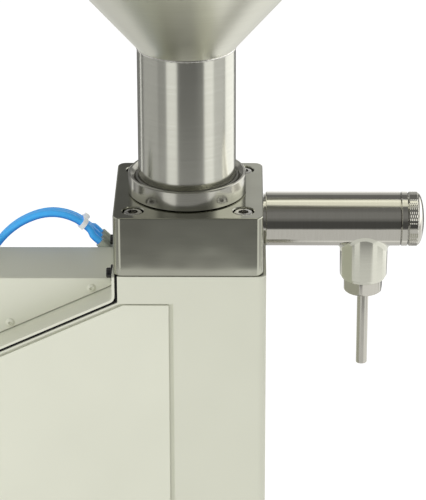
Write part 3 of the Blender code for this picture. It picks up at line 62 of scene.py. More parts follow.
# Turns that lay a piece's own upright axis along another one
UP = (0, 0, 0)
ALONG_X = (0, math.pi / 2, 0)
AGAINST_X = (0, -math.pi / 2, 0)
ALONG_Y = (-math.pi / 2, 0, 0)
AGAINST_Y = (math.pi / 2, 0, 0)


def at(x, y, z):
    """A point in metres, from millimetres at the hopper's axis."""
    return Vector(((x + AXIS_X) * MM, y * MM, z * MM))


def deck_top(x):
    """The height of the deck's upper face."""
    return CORNER_Z + (x - CORNER_X) * SLOPE + SHEET


def linear(hex_colour):
    """An sRGB hex colour as the linear values that a shader takes."""
    values = [int(hex_colour[i : i + 2], 16) / 255 for i in (0, 2, 4)]
    return [v / 12.92 if v <= 0.04045 else ((v + 0.055) / 1.055) ** 2.4 for v in values] + [1]


# Camera

CAMERA_PLACE = (0.0596, -1.3140, 0.8721)
CAMERA_TURN = (23.586, -0.594, -0.131)
LENS = 194.96


def make_camera():
    """A long lens above the deck, looking down at the photograph's own viewing angle."""
    data = bpy.data.cameras.new("studio_camera")
    data.sensor_width = 36
    data.lens = LENS
    data.clip_start = 0.05
    data.clip_end = 50
    camera = bpy.data.objects.new("studio_camera", data)
    bpy.context.scene.collection.objects.link(camera)
    pitch, yaw, roll = (math.radians(a) for a in CAMERA_TURN)
    ahead = Vector((math.sin(yaw) * math.cos(pitch), math.cos(yaw) * math.cos(pitch), -math.sin(pitch)))
    right = Vector((math.cos(yaw), -math.sin(yaw), 0))
    above = right.cross(ahead)
    rolled_right = right * math.cos(roll) + above * math.sin(roll)
    rolled_above = above * math.cos(roll) - right * math.sin(roll)
    turn = Matrix((rolled_right, rolled_above, -ahead)).transposed()
    camera.matrix_world = Matrix.Translation(CAMERA_PLACE) @ turn.to_4x4()
    bpy.context.scene.camera = camera


make_camera()


# Materials


def add(tree, kind, settings=None, sockets=None):
    """Adds one node, sets its properties, and sets its sockets or links them."""
    made = tree.nodes.new(kind)
    for key, value in (settings or {}).items():
        setattr(made, key, value)
    for key, value in (sockets or {}).items():
        if isinstance(value, bpy.types.NodeSocket):
            tree.links.new(value, made.inputs[key])
        else:
            made.inputs[key].default_value = value
    return made


def start_material(name, colour, roughness, **values):
    """A shader with its plain values. Patterns are added to it afterwards."""
    made = bpy.data.materials.new(name)
    made.use_nodes = True
    tree = made.node_tree
    shader = tree.nodes["Principled BSDF"]
    shader.inputs["Base Color"].default_value = linear(colour)
    shader.inputs["Roughness"].default_value = roughness
    for key, value in values.items():
        shader.inputs[key.replace("_", " ")].default_value = value
    made.diffuse_color = linear(colour)
    return made, tree, shader


def stretched_noise(tree, sizes, detail=2.0):
    """Noise in object space with a grain of the given sizes in millimetres along X, Y and Z.

    Grinding lines, hairlines and the grain of a mould are finer than this view can show. They are
    drawn about half a millimetre apart, so that the satin and the matt skin still show.
    """
    place = add(tree, "ShaderNodeTexCoord").outputs["Object"]
    scale = [1 / (size * MM) for size in sizes]
    grain = add(tree, "ShaderNodeMapping", sockets={"Vector": place, "Scale": scale})
    noise = add(
        tree,
        "ShaderNodeTexNoise",
        sockets={"Vector": grain.outputs["Vector"], "Scale": 1.0, "Detail": detail},
    )
    return noise.outputs["Fac"]


def spread(tree, value, low, high):
    """Noise keeps near its middle, so its middle is spread over a range."""
    ranged = add(
        tree,
        "ShaderNodeMapRange",
        sockets={"Value": value, "From Min": 0.3, "From Max": 0.7, "To Min": low, "To Max": high},
    )
    return ranged.outputs["Result"]


def emboss(tree, shader, height, strength, distance):
    """Relief from a pattern, with its depth in millimetres."""
    relief = add(
        tree,
        "ShaderNodeBump",
        sockets={"Height": height, "Strength": strength, "Distance": distance * MM},
    )
    tree.links.new(relief.outputs["Normal"], shader.inputs["Normal"])


def tint(tree, shader, value, colour_a, colour_b):
    """A base colour that a pattern takes from one hex colour to another."""
    mixed = add(
        tree,
        "ShaderNodeMix",
        {"data_type": "RGBA"},
        {"Factor": value, "A": linear(colour_a), "B": linear(colour_b)},
    )
    tree.links.new(mixed.outputs["Result"], shader.inputs["Base Color"])


def make_satin_stainless(name, dark, light, low, high):
    """Stainless sheet and tube, belt-ground round its axis to a satin, so bands of light stay soft.

    The colour drifts a little from line to line, and the gloss over some centimetres.
    """
    made, tree, shader = start_material(name, light, low, Metallic=1.0)
    lines = stretched_noise(tree, (40, 40, 0.35), 3.0)
    cloud = stretched_noise(tree, (35, 35, 60), 2.0)
    tree.links.new(spread(tree, cloud, low, high), shader.inputs["Roughness"])
    tint(tree, shader, spread(tree, lines, 0, 1), dark, light)
    emboss(tree, shader, lines, 0.05, 0.02)
    return made


def make_polished_stainless():
    """Machined stainless, buffed to a near mirror that keeps a faint waviness and hairlines."""
    made, tree, shader = start_material("polished_stainless_steel", "BFBDB6", 0.07, Metallic=1.0)
    wave = stretched_noise(tree, (14, 14, 14), 1.0)
    hair = stretched_noise(tree, (0.5, 9, 9), 2.0)
    tree.links.new(spread(tree, hair, 0.06, 0.09), shader.inputs["Roughness"])
    tint(tree, shader, spread(tree, hair, 0, 1), "BDBBB3", "C1BFB8")
    emboss(tree, shader, wave, 0.12, 0.5)
    return made


BLOCK_HALF = 38.75
BLOCK_MIDDLE_X = AXIS_X + 1.0
BLOCK_MIDDLE_Z = (BLOCK_LOW + BLOCK_TOP) / 2


def make_block_stainless():
    """The block's flat faces, ground and buffed, a shade softer than the turned pieces.

    Buffing rolls a flat face off towards its edges, most at the sides and less at the foot, and that
    gives the eye the light margins round the darker middle of the front.
    """
    made, tree, shader = start_material("buffed_block_stainless_steel", "B8B8AB", 0.08, Metallic=1.0)
    wave = stretched_noise(tree, (26, 26, 20), 1.0)
    hair = stretched_noise(tree, (12, 12, 0.5), 2.0)
    tree.links.new(spread(tree, hair, 0.08, 0.10), shader.inputs["Roughness"])
    tint(tree, shader, spread(tree, wave, 0, 1), "ACACA0", "B8B9AC")
    place = add(tree, "ShaderNodeTexCoord").outputs["Object"]
    parts = add(tree, "ShaderNodeSeparateXYZ", sockets={"Vector": place}).outputs
    down = add(
        tree,
        "ShaderNodeMapRange",
        sockets={"Value": parts["Z"], "From Min": BLOCK_MIDDLE_Z * MM, "From Max": BLOCK_LOW * MM},
    )
    middle, edge = BLOCK_MIDDLE_X * MM, (BLOCK_MIDDLE_X + BLOCK_HALF) * MM
    across = add(
        tree,
        "ShaderNodeMapRange",
        {"clamp": False},
        {"Value": parts["X"], "From Min": middle, "From Max": edge},
    )
    aside = add(tree, "ShaderNodeMath", {"operation": "ABSOLUTE"}, {0: across.outputs["Result"]})
    height = add(tree, "ShaderNodeMath", {"operation": "MULTIPLY"}, {0: wave, 1: 0.08})
    for reach, power, roll in ((down.outputs["Result"], 11, 0.2), (aside.outputs["Value"], 14, 0.4)):
        share = add(tree, "ShaderNodeMath", {"operation": "POWER"}, {0: reach, 1: power})
        height = add(
            tree,
            "ShaderNodeMath",
            {"operation": "MULTIPLY_ADD"},
            {0: share.outputs["Value"], 1: -roll, 2: height.outputs["Value"]},
        )
    emboss(tree, shader, height.outputs["Value"], 1.0, 1.0)
    return made


def make_ground_stainless():
    """Turned and ground stainless of screws, rods and plates, greyer and duller than the tubes."""
    made, tree, shader = start_material("ground_stainless_steel", "C8C7C2", 0.22, Metallic=1.0)
    lines = stretched_noise(tree, (0.4, 18, 18), 2.0)
    tree.links.new(spread(tree, lines, 0.18, 0.30), shader.inputs["Roughness"])
    emboss(tree, shader, lines, 0.06, 0.02)
    return made


def make_powder_coat(name, light, dark, roughness):
    """Baked powder coat on steel sheet: a fine orange peel about a millimetre across."""
    made, tree, shader = start_material(name, light, roughness, IOR=1.5)
    peel = stretched_noise(tree, (1.1, 1.1, 1.1), 2.0)
    cloud = stretched_noise(tree, (70, 70, 70), 2.0)
    tint(tree, shader, spread(tree, cloud, 0, 1), dark, light)
    tree.links.new(spread(tree, peel, roughness - 0.05, roughness + 0.05), shader.inputs["Roughness"])
    emboss(tree, shader, peel, 0.10, 0.05)
    return made


def make_moulded(name, colour, other, roughness, grain=0.6, depth=0.03):
    """Moulded plastic or rubber with the fine spark grain of its tool, which breaks up its gloss."""
    made, tree, shader = start_material(name, colour, roughness, IOR=1.5)
    skin = stretched_noise(tree, (grain, grain, grain), 2.0)
    tint(tree, shader, spread(tree, skin, 0, 1), colour, other)
    tree.links.new(spread(tree, skin, roughness - 0.06, roughness + 0.06), shader.inputs["Roughness"])
    emboss(tree, shader, skin, 0.2, depth)
    return made


def make_plated(name, colour, low, high):
    """Plated or anodised metal, with an even colour and a slow drift in its gloss."""
    made, tree, shader = start_material(name, colour, low, Metallic=1.0)
    cloud = stretched_noise(tree, (12, 12, 12), 2.0)
    tree.links.new(spread(tree, cloud, low, high), shader.inputs["Roughness"])
    return made


def glow(made, colour, strength):
    """Painted light: an emission that stands in for the light a translucent plastic passes on from the
    bright sweep behind it.
    """
    shader = made.node_tree.nodes["Principled BSDF"]
    shader.inputs["Emission Color"].default_value = linear(colour)
    shader.inputs["Emission Strength"].default_value = strength


def make_hose_plastic():
    """Extruded polyurethane tube, bright blue right through and glossy outside.

    Its lower side is painted a deeper blue, as painted shade for the light that comes through it from
    above.
    """
    made, tree, shader = start_material("blue_polyurethane", "45B4EE", 0.16, IOR=1.5)
    cloud = stretched_noise(tree, (9, 9, 9), 2.0)
    facing = add(tree, "ShaderNodeTexCoord").outputs["Normal"]
    upward = add(tree, "ShaderNodeSeparateXYZ", sockets={"Vector": facing}).outputs["Z"]
    # Painted shade: the base colour goes from a deeper blue where the surface faces down to the bright
    # blue where it faces up.
    depth = add(
        tree,
        "ShaderNodeMapRange",
        {"interpolation_type": "SMOOTHSTEP"},
        {"Value": upward, "From Min": -0.7, "From Max": 0.25},
    )
    tint(tree, shader, depth.outputs["Result"], "156BC6", "50BDFC")
    emboss(tree, shader, cloud, 0.05, 0.05)
    return made


def make_glass():
    """Flat float glass, clear and smooth, which shows as a faint gloss over the dial."""
    return start_material("gauge_glass", "FFFFFF", 0.02, IOR=1.5, Transmission_Weight=1.0)[0]


SATIN = make_satin_stainless("satin_stainless_tube", "CCCCC3", "D3D3CA", 0.15, 0.19)
SPUN = make_satin_stainless("satin_stainless_sheet", "DCDCD0", "E1E1D5", 0.27, 0.33)
DROP_STEEL = make_satin_stainless("satin_drop_stainless", "CFCFC4", "D3D3C8", 0.1, 0.14)
COLLAR_STEEL = make_satin_stainless("satin_collar_stainless", "B9B8B0", "BFBEB6", 0.16, 0.20)
POLISHED = make_polished_stainless()
BLOCK_STEEL = make_block_stainless()
GROUND = make_ground_stainless()
COAT = make_powder_coat("cream_powder_coat", "E0E1D0", "DBDCCB", 0.42)
# The walls take the cream coat painted a shade darker, as painted shade that keeps the column front less
# lit than the door.
SHADED_WALL_COAT = make_powder_coat("wall_powder_coat_painted_shade", "D9DAC9", "D4D5C4", 0.42)
HOOD_COAT = make_powder_coat("hood_powder_coat", "E0E1D0", "DADBCA", 0.38)
RUBBER = make_moulded("moulded_nitrile_rubber", "161616", "1E1E1E", 0.72, 0.8, 0.05)
GASKET = make_moulded("foamed_gasket_rubber", "090909", "0D0D0D", 0.8, 0.8, 0.02)
RING_RUBBER = make_moulded("moulded_ring_rubber", "77766F", "7F7E77", 0.35, 0.8, 0.01)
SEAL = make_moulded("moulded_food_seal", "E6E4DC", "DEDCD3", 0.5)
BLACK = make_moulded("moulded_black_nylon", "1B1B1D", "252528", 0.45)
GREEN = make_moulded("moulded_green_abs", "2A8A52", "2E9459", 0.32)
FITTING = make_moulded("moulded_grey_green_acetal", "B9BFB2", "BFC5B8", 0.4)
TIE = make_moulded("moulded_natural_nylon", "FBFDFD", "F3F8FA", 0.35)
DIAL = make_moulded("printed_white_dial", "F4F3EE", "EFEEE8", 0.4, 0.5, 0.01)
INK = make_moulded("printed_black_ink", "101012", "161618", 0.5, 0.5, 0.01)
ANODISED = make_plated("clear_anodised_aluminium", "BDC0C2", 0.34, 0.42)
NICKEL = make_plated("nickel_plated_brass", "CDC7AE", 0.2, 0.26)
BLACK_OXIDE = make_plated("black_oxide_steel", "4A4A4C", 0.16, 0.22)
HOSE = make_hose_plastic()
# Painted light: the hoses and the tie glow a little, though they are no lamps.
glow(HOSE, "2A94FF", 0.2)
glow(TIE, "FFFFFF", 0.16)
GLASS = make_glass()


# Workshop steps


def pick(obj):
    """Makes a piece the only one selected, and the active one."""
    bpy.ops.object.select_all(action="DESELECT")
    obj.select_set(True)
    bpy.context.view_layer.objects.active = obj


def start(name, operator, **settings):
    """Adds a primitive with nothing else selected, under its own name."""
    bpy.ops.object.select_all(action="DESELECT")
    operator(**settings)
    obj = bpy.context.object
    obj.name = name
    return obj


def edit(obj):
    """Opens a piece in edit mode with all of it selected."""
    pick(obj)
    bpy.ops.object.mode_set(mode="EDIT")
    bpy.ops.mesh.select_all(action="SELECT")


def leave():
    """Back to object mode."""
    bpy.ops.object.mode_set(mode="OBJECT")


def apply(obj, kind, **settings):
    """Adds one modifier with its settings and applies it."""
    pick(obj)
    bpy.ops.object.modifier_add(type=kind)
    step = obj.modifiers[-1]
    for key, value in settings.items():
        setattr(step, key, value)
    bpy.ops.object.modifier_apply(modifier=step.name)


def soften(obj, width, segments=2, angle=40):
    """Breaks the sharp edges by a width in millimetres."""
    apply(
        obj,
        "BEVEL",
        width=width * MM,
        segments=segments,
        limit_method="ANGLE",
        angle_limit=math.radians(angle),
        use_clamp_overlap=True,
    )


def combine(obj, tool, operation="DIFFERENCE"):
    """Cuts or joins an object with a tool, which is used up."""
    apply(obj, "BOOLEAN", operation=operation, solver="EXACT", object=tool)
    bpy.data.objects.remove(tool)


def smooth(obj, angle=32):
    """Smooth shading up to an angle in degrees, with the flat faces kept flat."""
    pick(obj)
    bpy.ops.object.shade_smooth_by_angle(angle=math.radians(angle))
    apply(obj, "WEIGHTED_NORMAL", keep_sharp=True)


def seat(obj, place=(0, 0, 0), turn=UP):
    """Turns and moves an object, and puts its place in its mesh."""
    obj.location = place
    obj.rotation_euler = turn
    pick(obj)
    bpy.ops.object.transform_apply(location=True, rotation=True, scale=True)
    return obj


def turned(name, profile, place, turn=UP, steps=96):
    """Turns a closed profile of (radius, height) points. A profile that starts at radius 0 is solid."""
    obj = start(name, bpy.ops.mesh.primitive_plane_add, size=0.01)
    edit(obj)
    bpy.ops.mesh.merge(type="CENTER")
    radius, height = profile[0]
    bpy.ops.transform.translate(value=(radius * MM, 0, height * MM))
    path = profile[1:] + ([profile[0]] if profile[0][0] > 0 else [])
    for next_radius, next_height in path:
        step = ((next_radius - radius) * MM, 0, (next_height - height) * MM)
        bpy.ops.mesh.extrude_vertices_move(TRANSFORM_OT_translate={"value": step})
        radius, height = next_radius, next_height
    bpy.ops.mesh.select_all(action="SELECT")
    bpy.ops.mesh.spin(steps=steps, angle=ROUND, center=(0, 0, 0), axis=(0, 0, 1))
    bpy.ops.mesh.select_all(action="SELECT")
    bpy.ops.mesh.remove_doubles(threshold=0.000002)
    bpy.ops.mesh.normals_make_consistent(inside=False)
    leave()
    return seat(obj, place, turn)


def repeat(pattern, name, place, turn=UP):
    """A copy of a piece modelled at the origin, with a mesh of its own, turned and moved to its place."""
    made = bpy.data.objects.new(name, pattern.data.copy())
    bpy.context.scene.collection.objects.link(made)
    return seat(made, place, turn)


def put_away(*patterns):
    """Removes the patterns that the copies were taken from."""
    for pattern in patterns:
        bpy.data.objects.remove(pattern)


def block(name, low, high, edge=0.0, segments=2):
    """A block between two corners in millimetres, with its edges rounded."""
    obj = start(name, bpy.ops.mesh.primitive_cube_add, size=1)
    obj.scale = [(b - a) * MM for a, b in zip(low, high)]
    seat(obj, at(*((a + b) / 2 for a, b in zip(low, high))))
    if edge:
        soften(obj, edge, segments)
    return obj


def six_sided(radius, length):
    """A bar that gives a turned piece its six flats where the two meet."""
    cylinder = bpy.ops.mesh.primitive_cylinder_add
    return start("flats", cylinder, vertices=6, radius=radius * MM, depth=length * MM)


def arc(centre_r, centre_h, radius, first, last, steps):
    """Points on an arc, in degrees, both ends included."""
    points = []
    for i in range(steps + 1):
        angle = math.radians(first + (last - first) * i / steps)
        points.append((centre_r + radius * math.cos(angle), centre_h + radius * math.sin(angle)))
    return points


def copied(node, name):
    """A copy of a CAD node's mesh with its triangles joined and its flat faces made whole."""
    obj = bpy.data.objects.new(name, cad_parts[node].data.copy())
    bpy.context.scene.collection.objects.link(obj)
    obj.data.materials.clear()
    edit(obj)
    if obj.data.has_custom_normals:
        bpy.ops.mesh.customdata_custom_splitnormals_clear()
    bpy.ops.mesh.remove_doubles(threshold=0.00001)
    bpy.ops.mesh.dissolve_limited(angle_limit=math.radians(1))
    leave()
    return obj


def dress(obj, body, paint, slot, *nodes):
    """Gives a piece its finish and its body, and hides the CAD nodes that it stands for."""
    obj.data.materials.clear()
    obj.data.materials.append(paint)
    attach(obj, body)
    if nodes:
        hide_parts(*nodes)


def finish(obj, body, paint, slot, *nodes, angle=32):
    """Smooths a piece and dresses it."""
    smooth(obj, angle)
    dress(obj, body, paint, slot, *nodes)


# Air hoses, which follow the routes that the CAD model has

HOSE_RADIUS = 2.0
HOSE_Y = 30.0
HOSE_SPACING = 6.0
HOSE_BUNDLE_SPACING = 4.5
HOSE_BUNDLE_STEP = 1.1
HOSE_LEAD = 5.0
HOSE_PITCH = 2.5
RING_LENGTH = 4.0
RAIL_RISE = 0.3 + 3.5
RAILS = ((-44.8, -45.0), (-118.0, 22.0))
HOSE_ROUTE = [
    (-53.2, -34.4),
    (-59.6, -29.2),
    (-66.0, -26.4),
    (-72.5, -25.4),
    (-79.0, -26.1),
    (-85.5, -28.4),
    (-92.1, -32.1),
    (-98.8, -37.9),
    (-104.8, -45.6),
    (-109.4, -54.4),
]


def smooth_line(points, pitch):
    """Evenly spaced points on a smooth curve through the given points."""
    ends = [2 * points[0] - points[1]] + points + [2 * points[-1] - points[-2]]
    fine = []
    for before, a, b, after in zip(ends, ends[1:], ends[2:], ends[3:]):
        for step in range(8):
            t = step / 8
            fine.append(
                a
                + (b - before) * (t / 2)
                + (2 * before - 5 * a + 4 * b - after) * (t * t / 2)
                + (3 * a - before - 3 * b + after) * (t**3 / 2)
            )
    fine.append(points[-1])
    reach = [0.0]
    for a, b in zip(fine, fine[1:]):
        reach.append(reach[-1] + (b - a).length)
    count = max(2, round(reach[-1] / pitch))
    line = []
    i = 0
    for k in range(count + 1):
        target = reach[-1] * k / count
        while i < len(fine) - 2 and reach[i + 1] < target:
            i += 1
        share = (target - reach[i]) / (reach[i + 1] - reach[i])
        line.append(fine[i].lerp(fine[i + 1], min(share, 1)))
    return line


def hose_line(i):
    """One hose's own line, out of its fitting, along the shared route and into the other fitting."""
    side = i - 1
    ends = []
    for x, lean in RAILS:
        way = Vector((math.sin(math.radians(lean)), 0, math.cos(math.radians(lean))))
        foot = Vector((x, HOSE_Y + side * HOSE_SPACING, deck_top(x + 4) + RAIL_RISE))
        mouth = foot + way * (RING_LENGTH + 0.3)
        ends.append((mouth, mouth + way * HOSE_LEAD))
    points = [*ends[0]]
    for x, drop in HOSE_ROUTE:
        y = HOSE_Y + side * HOSE_BUNDLE_SPACING
        points.append(Vector((x, y, BLOCK_TOP + drop - side * HOSE_BUNDLE_STEP)))
    points += [ends[1][1], ends[1][0]]
    return smooth_line(points, HOSE_PITCH)


def make_hoses():
    """Three hoses, each a curve of one open spline along its own line."""
    for i in range(3):
        line = [at(*p) for p in hose_line(i)]
        curve = bpy.data.curves.new(f"hose_{i + 1}", "CURVE")
        curve.dimensions = "3D"
        curve.bevel_depth = HOSE_RADIUS * MM
        curve.bevel_resolution = 6
        curve.use_fill_caps = True
        spline = curve.splines.new("POLY")
        spline.points.add(len(line) - 1)
        for point, place in zip(spline.points, line):
            point.co = (*place, 1)
        spline.use_smooth = True
        hose = bpy.data.objects.new(f"hose_{i + 1}", curve)
        bpy.context.scene.collection.objects.link(hose)
        dress(hose, "cabinet", HOSE, "blue_polyurethane", f"air_hose_{i + 1}")
        hose.visible_glossy = False


make_hoses()


TIE_X = -57.6
TIE_WIDTH = 2.6
TIE_THICKNESS = 0.9
TIE_REACH = HOSE_RADIUS + 0.55
TIE_HEAD = (3.2, 3.4, 2.2)


def make_cable_tie():
    """A nylon band pulled round the three hoses, with its head on top."""
    lines = [hose_line(i) for i in range(3)]
    spot = min(range(len(lines[1])), key=lambda k: abs(lines[1][k].x - TIE_X))
    centre = lines[1][spot]
    along = (lines[1][spot + 1] - lines[1][spot - 1]).normalized()
    across = lines[2][spot] - lines[0][spot]
    across = (across - along * across.dot(along)).normalized()
    out = along.cross(across).normalized()
    if out.z < 0:
        out = -out
    loop = []
    for side, first in ((-1, 90), (1, -90)):
        middle = side * HOSE_BUNDLE_SPACING
        loop += [(-middle, -side * TIE_REACH), (middle, -side * TIE_REACH)]
        loop += arc(middle, 0, TIE_REACH, first + 15, first + 165, 10)
    circle = bpy.ops.mesh.primitive_circle_add
    band = start("cable_tie_band", circle, vertices=len(loop), radius=0.01, fill_type="NOTHING")
    for vertex, (a, b) in zip(band.data.vertices, loop):
        vertex.co = at(*(centre + across * a + out * b - along * TIE_WIDTH / 2))
    edit(band)
    bpy.ops.mesh.extrude_region_move(TRANSFORM_OT_translate={"value": along * TIE_WIDTH * MM})
    bpy.ops.mesh.select_all(action="SELECT")
    bpy.ops.mesh.normals_make_consistent(inside=False)
    leave()
    apply(band, "SOLIDIFY", thickness=TIE_THICKNESS * MM, offset=0)
    finish(band, "cabinet", TIE, "white_seal", angle=40)
    head = start("cable_tie_head", bpy.ops.mesh.primitive_cube_add, size=1)
    head.scale = [size * MM for size in TIE_HEAD]
    basis = Matrix((along, out.cross(along), out)).transposed().to_4x4()
    seat(head)
    edit(head)
    bpy.ops.mesh.bevel(offset=0.6 * MM, segments=2, affect="EDGES")
    leave()
    head.matrix_world = Matrix.Translation(at(*(centre + out * 3.7 + across * 1.5))) @ basis
    pick(head)
    bpy.ops.object.transform_apply(location=True, rotation=True, scale=True)
    finish(head, "cabinet", TIE, "white_seal")


make_cable_tie()


# Hopper, neck and collar

SEAM_Z = 412.8
SHOULDER_Z = 556.0
RIM_Z = 636.0
SEAT_Z = BLOCK_TOP + 0.3
RIPPLES = 60


def make_hopper():
    """Funnel with a rolled rim, the neck tube, and the ground welds that join them."""
    profile = arc(152.85, RIM_Z, 3.85, 180, -134, 24)
    profile += [(150.0, SHOULDER_Z), (25.5, SEAM_Z + 0.1), (24.3, SEAM_Z + 0.1), (148.8, SHOULDER_Z)]
    hopper = turned("hopper_funnel", profile, at(0, 0, 0), steps=192)
    finish(hopper, "cabinet", SPUN, "satin_stainless", "hopper")
    high, low = SEAM_Z - 0.2, SEAT_Z
    profile = [(25.5, high), (25.5, low + 0.5), (25.0, low), (24.0, low), (24.0, high)]
    neck = turned("neck_pipe", profile, at(0, 0, 0), steps=128)
    finish(neck, "cabinet", SATIN, "satin_stainless", "neck_tube")
    for name, radius, height, section in (
        ("neck_weld", 25.35, SEAM_Z, 0.62),
        ("wall_weld", 149.75, SHOULDER_Z, 0.6),
    ):
        weld = start(
            name,
            bpy.ops.mesh.primitive_torus_add,
            major_segments=240,
            minor_segments=10,
            major_radius=radius * MM,
            minor_radius=section * MM,
        )
        for vertex in weld.data.vertices:
            angle = math.atan2(vertex.co.y, vertex.co.x)
            vertex.co.z *= 1 + 0.18 * math.sin(RIPPLES * angle)
        seat(weld, at(0, 0, height))
        finish(weld, "cabinet", GROUND, "satin_stainless", angle=60)


make_hopper()


def make_collar():
    """The collar round the neck's foot, with its bevelled lip, and the ring that seals it."""
    low = SEAT_Z
    high = low + 10.5
    profile = [(29.5, high), (30.4, high), (30.9, high - 0.5), (30.9, low + 0.4), (30.5, low)]
    profile += [(25.8, low), (25.8, high - 3.6), (29.2, high - 0.2)]
    collar = turned("collar_ring", profile, at(0, 0, 0), steps=128)
    finish(collar, "cabinet", COLLAR_STEEL, "polished_stainless", "neck_collar")
    section = arc(26.25, 341.52, 0.72, 0, 345, 23)
    seal = turned("collar_seal", section, at(0, 0, 0), steps=96)
    finish(seal, "cabinet", RING_RUBBER, "black_rubber", "neck_oring", angle=60)


make_collar()


# Valve block and its screws

BLOCK_CORNER = 4.5
SCREW_REACH = 28.5
SCREWS = [(1 + SCREW_REACH * i, SCREW_REACH * j) for j in (-1, 1) for i in (-1, 1)]


def make_block():
    """The buffed block, with rounded corners, its bores and the four counterbores."""
    half = BLOCK_HALF
    body = block("block_body", (1 - half, -half, BLOCK_LOW), (1 + half, half, BLOCK_TOP))
    edit(body)
    mesh = bmesh.from_edit_mesh(body.data)
    for edge in mesh.edges:
        upright = abs(edge.verts[0].co.z - edge.verts[1].co.z) > 0.01
        edge.select_set(upright)
    bmesh.update_edit_mesh(body.data)
    bpy.ops.mesh.select_mode(type="EDGE")
    bpy.ops.mesh.bevel(offset=BLOCK_CORNER * MM, segments=10, affect="EDGES")
    bpy.ops.mesh.select_mode(type="VERT")
    leave()
    soften(body, 0.7, 3, 50)
    chamber = [(0, 337), (13, 337), (13, 325.6), (14.6, 324), (20, 324), (20, 296), (0, 296)]
    combine(body, turned("chamber", chamber, at(0, 0, 0)))
    port = [(0, 44), (12, 44), (12, 27.75), (7.5, 27.75), (7.5, 0), (0, 0)]
    combine(body, turned("port", port, at(0, 0, ARM_Z), ALONG_X))
    bore = [(0, 336.8), (9.9, 336.8), (5.5, 332.4), (5.5, 326), (3.2, 326), (3.2, 296), (0, 296)]
    for x, y in SCREWS:
        combine(body, turned("counterbore", bore, at(x, y, 0), steps=64))
    finish(body, "cabinet", BLOCK_STEEL, "polished_stainless", "valve_block")


make_block()


def make_block_screws():
    """Socket head screws, with the fine straight knurl of the head's side and a hexagon socket."""
    teeth = 72
    profile = [(0, 332.3), (4.1, 332.3), (4.6, 332.05), (4.9, 331.6), (4.9, 326.3), (2.9, 326.3)]
    profile += [(2.9, 294), (0, 294)]
    pattern = turned("screw_pattern", profile, (0, 0, 0), steps=teeth)
    for vertex in pattern.data.vertices:
        x, y, z = vertex.co
        side = 331.3 * MM > z > 326 * MM
        if side and math.hypot(x, y) > 4.8 * MM and round(math.atan2(y, x) / ROUND * teeth) % 2:
            vertex.co.x = x * 0.965
            vertex.co.y = y * 0.965
    socket = [(0, 334), (3.1, 334), (2.9, 332.1), (2.9, 329.1), (0, 328.4)]
    combine(pattern, turned("socket", socket, (0, 0, 0), steps=6))
    smooth(pattern)
    for i, (x, y) in enumerate(SCREWS, 1):
        screw = repeat(pattern, f"block_bolt_{i}", at(x, y, 0), (0, 0, 0.35 + 0.6 * i))
        dress(screw, "cabinet", GROUND, "ground_steel", f"block_screw_{i}")
    put_away(pattern)


make_block_screws()


# Discharge arm

ARM_RADIUS = 14.25
DROP_X = 93.2
DROP_RADIUS = 12.7


def joint_point(radius, angle):
    """A point of the arm's lower surface, at a radius and an angle round the drop body's axis."""
    y = radius * math.sin(angle)
    depth = math.sqrt(ARM_RADIUS**2 - min(abs(y), ARM_RADIUS - 0.05) ** 2)
    return Vector((radius * math.cos(angle), y, -depth))


def make_arm():
    """The arm tube with its groove, the drop body and the ground fillet weld between them."""
    profile = [(11.5, 112), (13.9, 112), (ARM_RADIUS, 111.65), (ARM_RADIUS, 41.6), (13.9, 41.25)]
    profile += [(13.2, 41.25), (13.2, 40.05), (11.7, 40.05), (11.7, 28.05)]
    bore = [(7.5, 28.05), (7.5, 60), (9.5, 62), (11.5, 62)]
    arm = turned("arm_tube", profile + bore, at(0, 0, ARM_Z), ALONG_X, 128)
    outlet = [(0, -5), (8, -5), (8, -38), (0, -38)]
    combine(arm, turned("outlet", outlet, at(DROP_X, 0, ARM_Z)))
    finish(arm, "cabinet", POLISHED, "polished_stainless", "discharge_arm")

    profile = [(0, -4), (DROP_RADIUS, -4), (DROP_RADIUS, -12), (12.45, -31.2), (12.1, -31.8)]
    profile += [(11.6, -31.8), (11.5, -33.1), (11.2, -33.4), (0, -33.4)]
    drop = turned("drop_body", profile, at(DROP_X, 0, ARM_Z), steps=112)
    inside = [(0, 60), (13.9, 60), (13.9, 125), (0, 125)]
    combine(drop, turned("inside", inside, at(0, 0, ARM_Z), ALONG_X, 128))
    combine(drop, turned("outlet", outlet, at(DROP_X, 0, ARM_Z)))
    finish(drop, "cabinet", DROP_STEEL, "polished_stainless")

    around, across = 128, 8
    foot = DROP_RADIUS - 0.04
    grid = bpy.ops.mesh.primitive_grid_add
    fillet = start("drop_fillet", grid, x_subdivisions=around, y_subdivisions=across, size=0.01)
    for k, vertex in enumerate(fillet.data.vertices):
        angle = ROUND * (k % (around + 1)) / around
        t = (k // (around + 1)) / across
        reach = 1.2 + 1.6 * math.cos(angle) ** 2
        corner = joint_point(foot, angle)
        low = corner - Vector((0, 0, reach + 0.6))
        high = joint_point(foot + reach, angle)
        vertex.co = (low * (1 - t) ** 2 + corner * 2 * t * (1 - t) + high * t**2) * MM
    edit(fillet)
    bpy.ops.mesh.remove_doubles(threshold=0.000002)
    bpy.ops.mesh.normals_make_consistent(inside=False)
    leave()
    seat(fillet, at(DROP_X, 0, ARM_Z))
    finish(fillet, "cabinet", DROP_STEEL, "polished_stainless", angle=60)


make_arm()


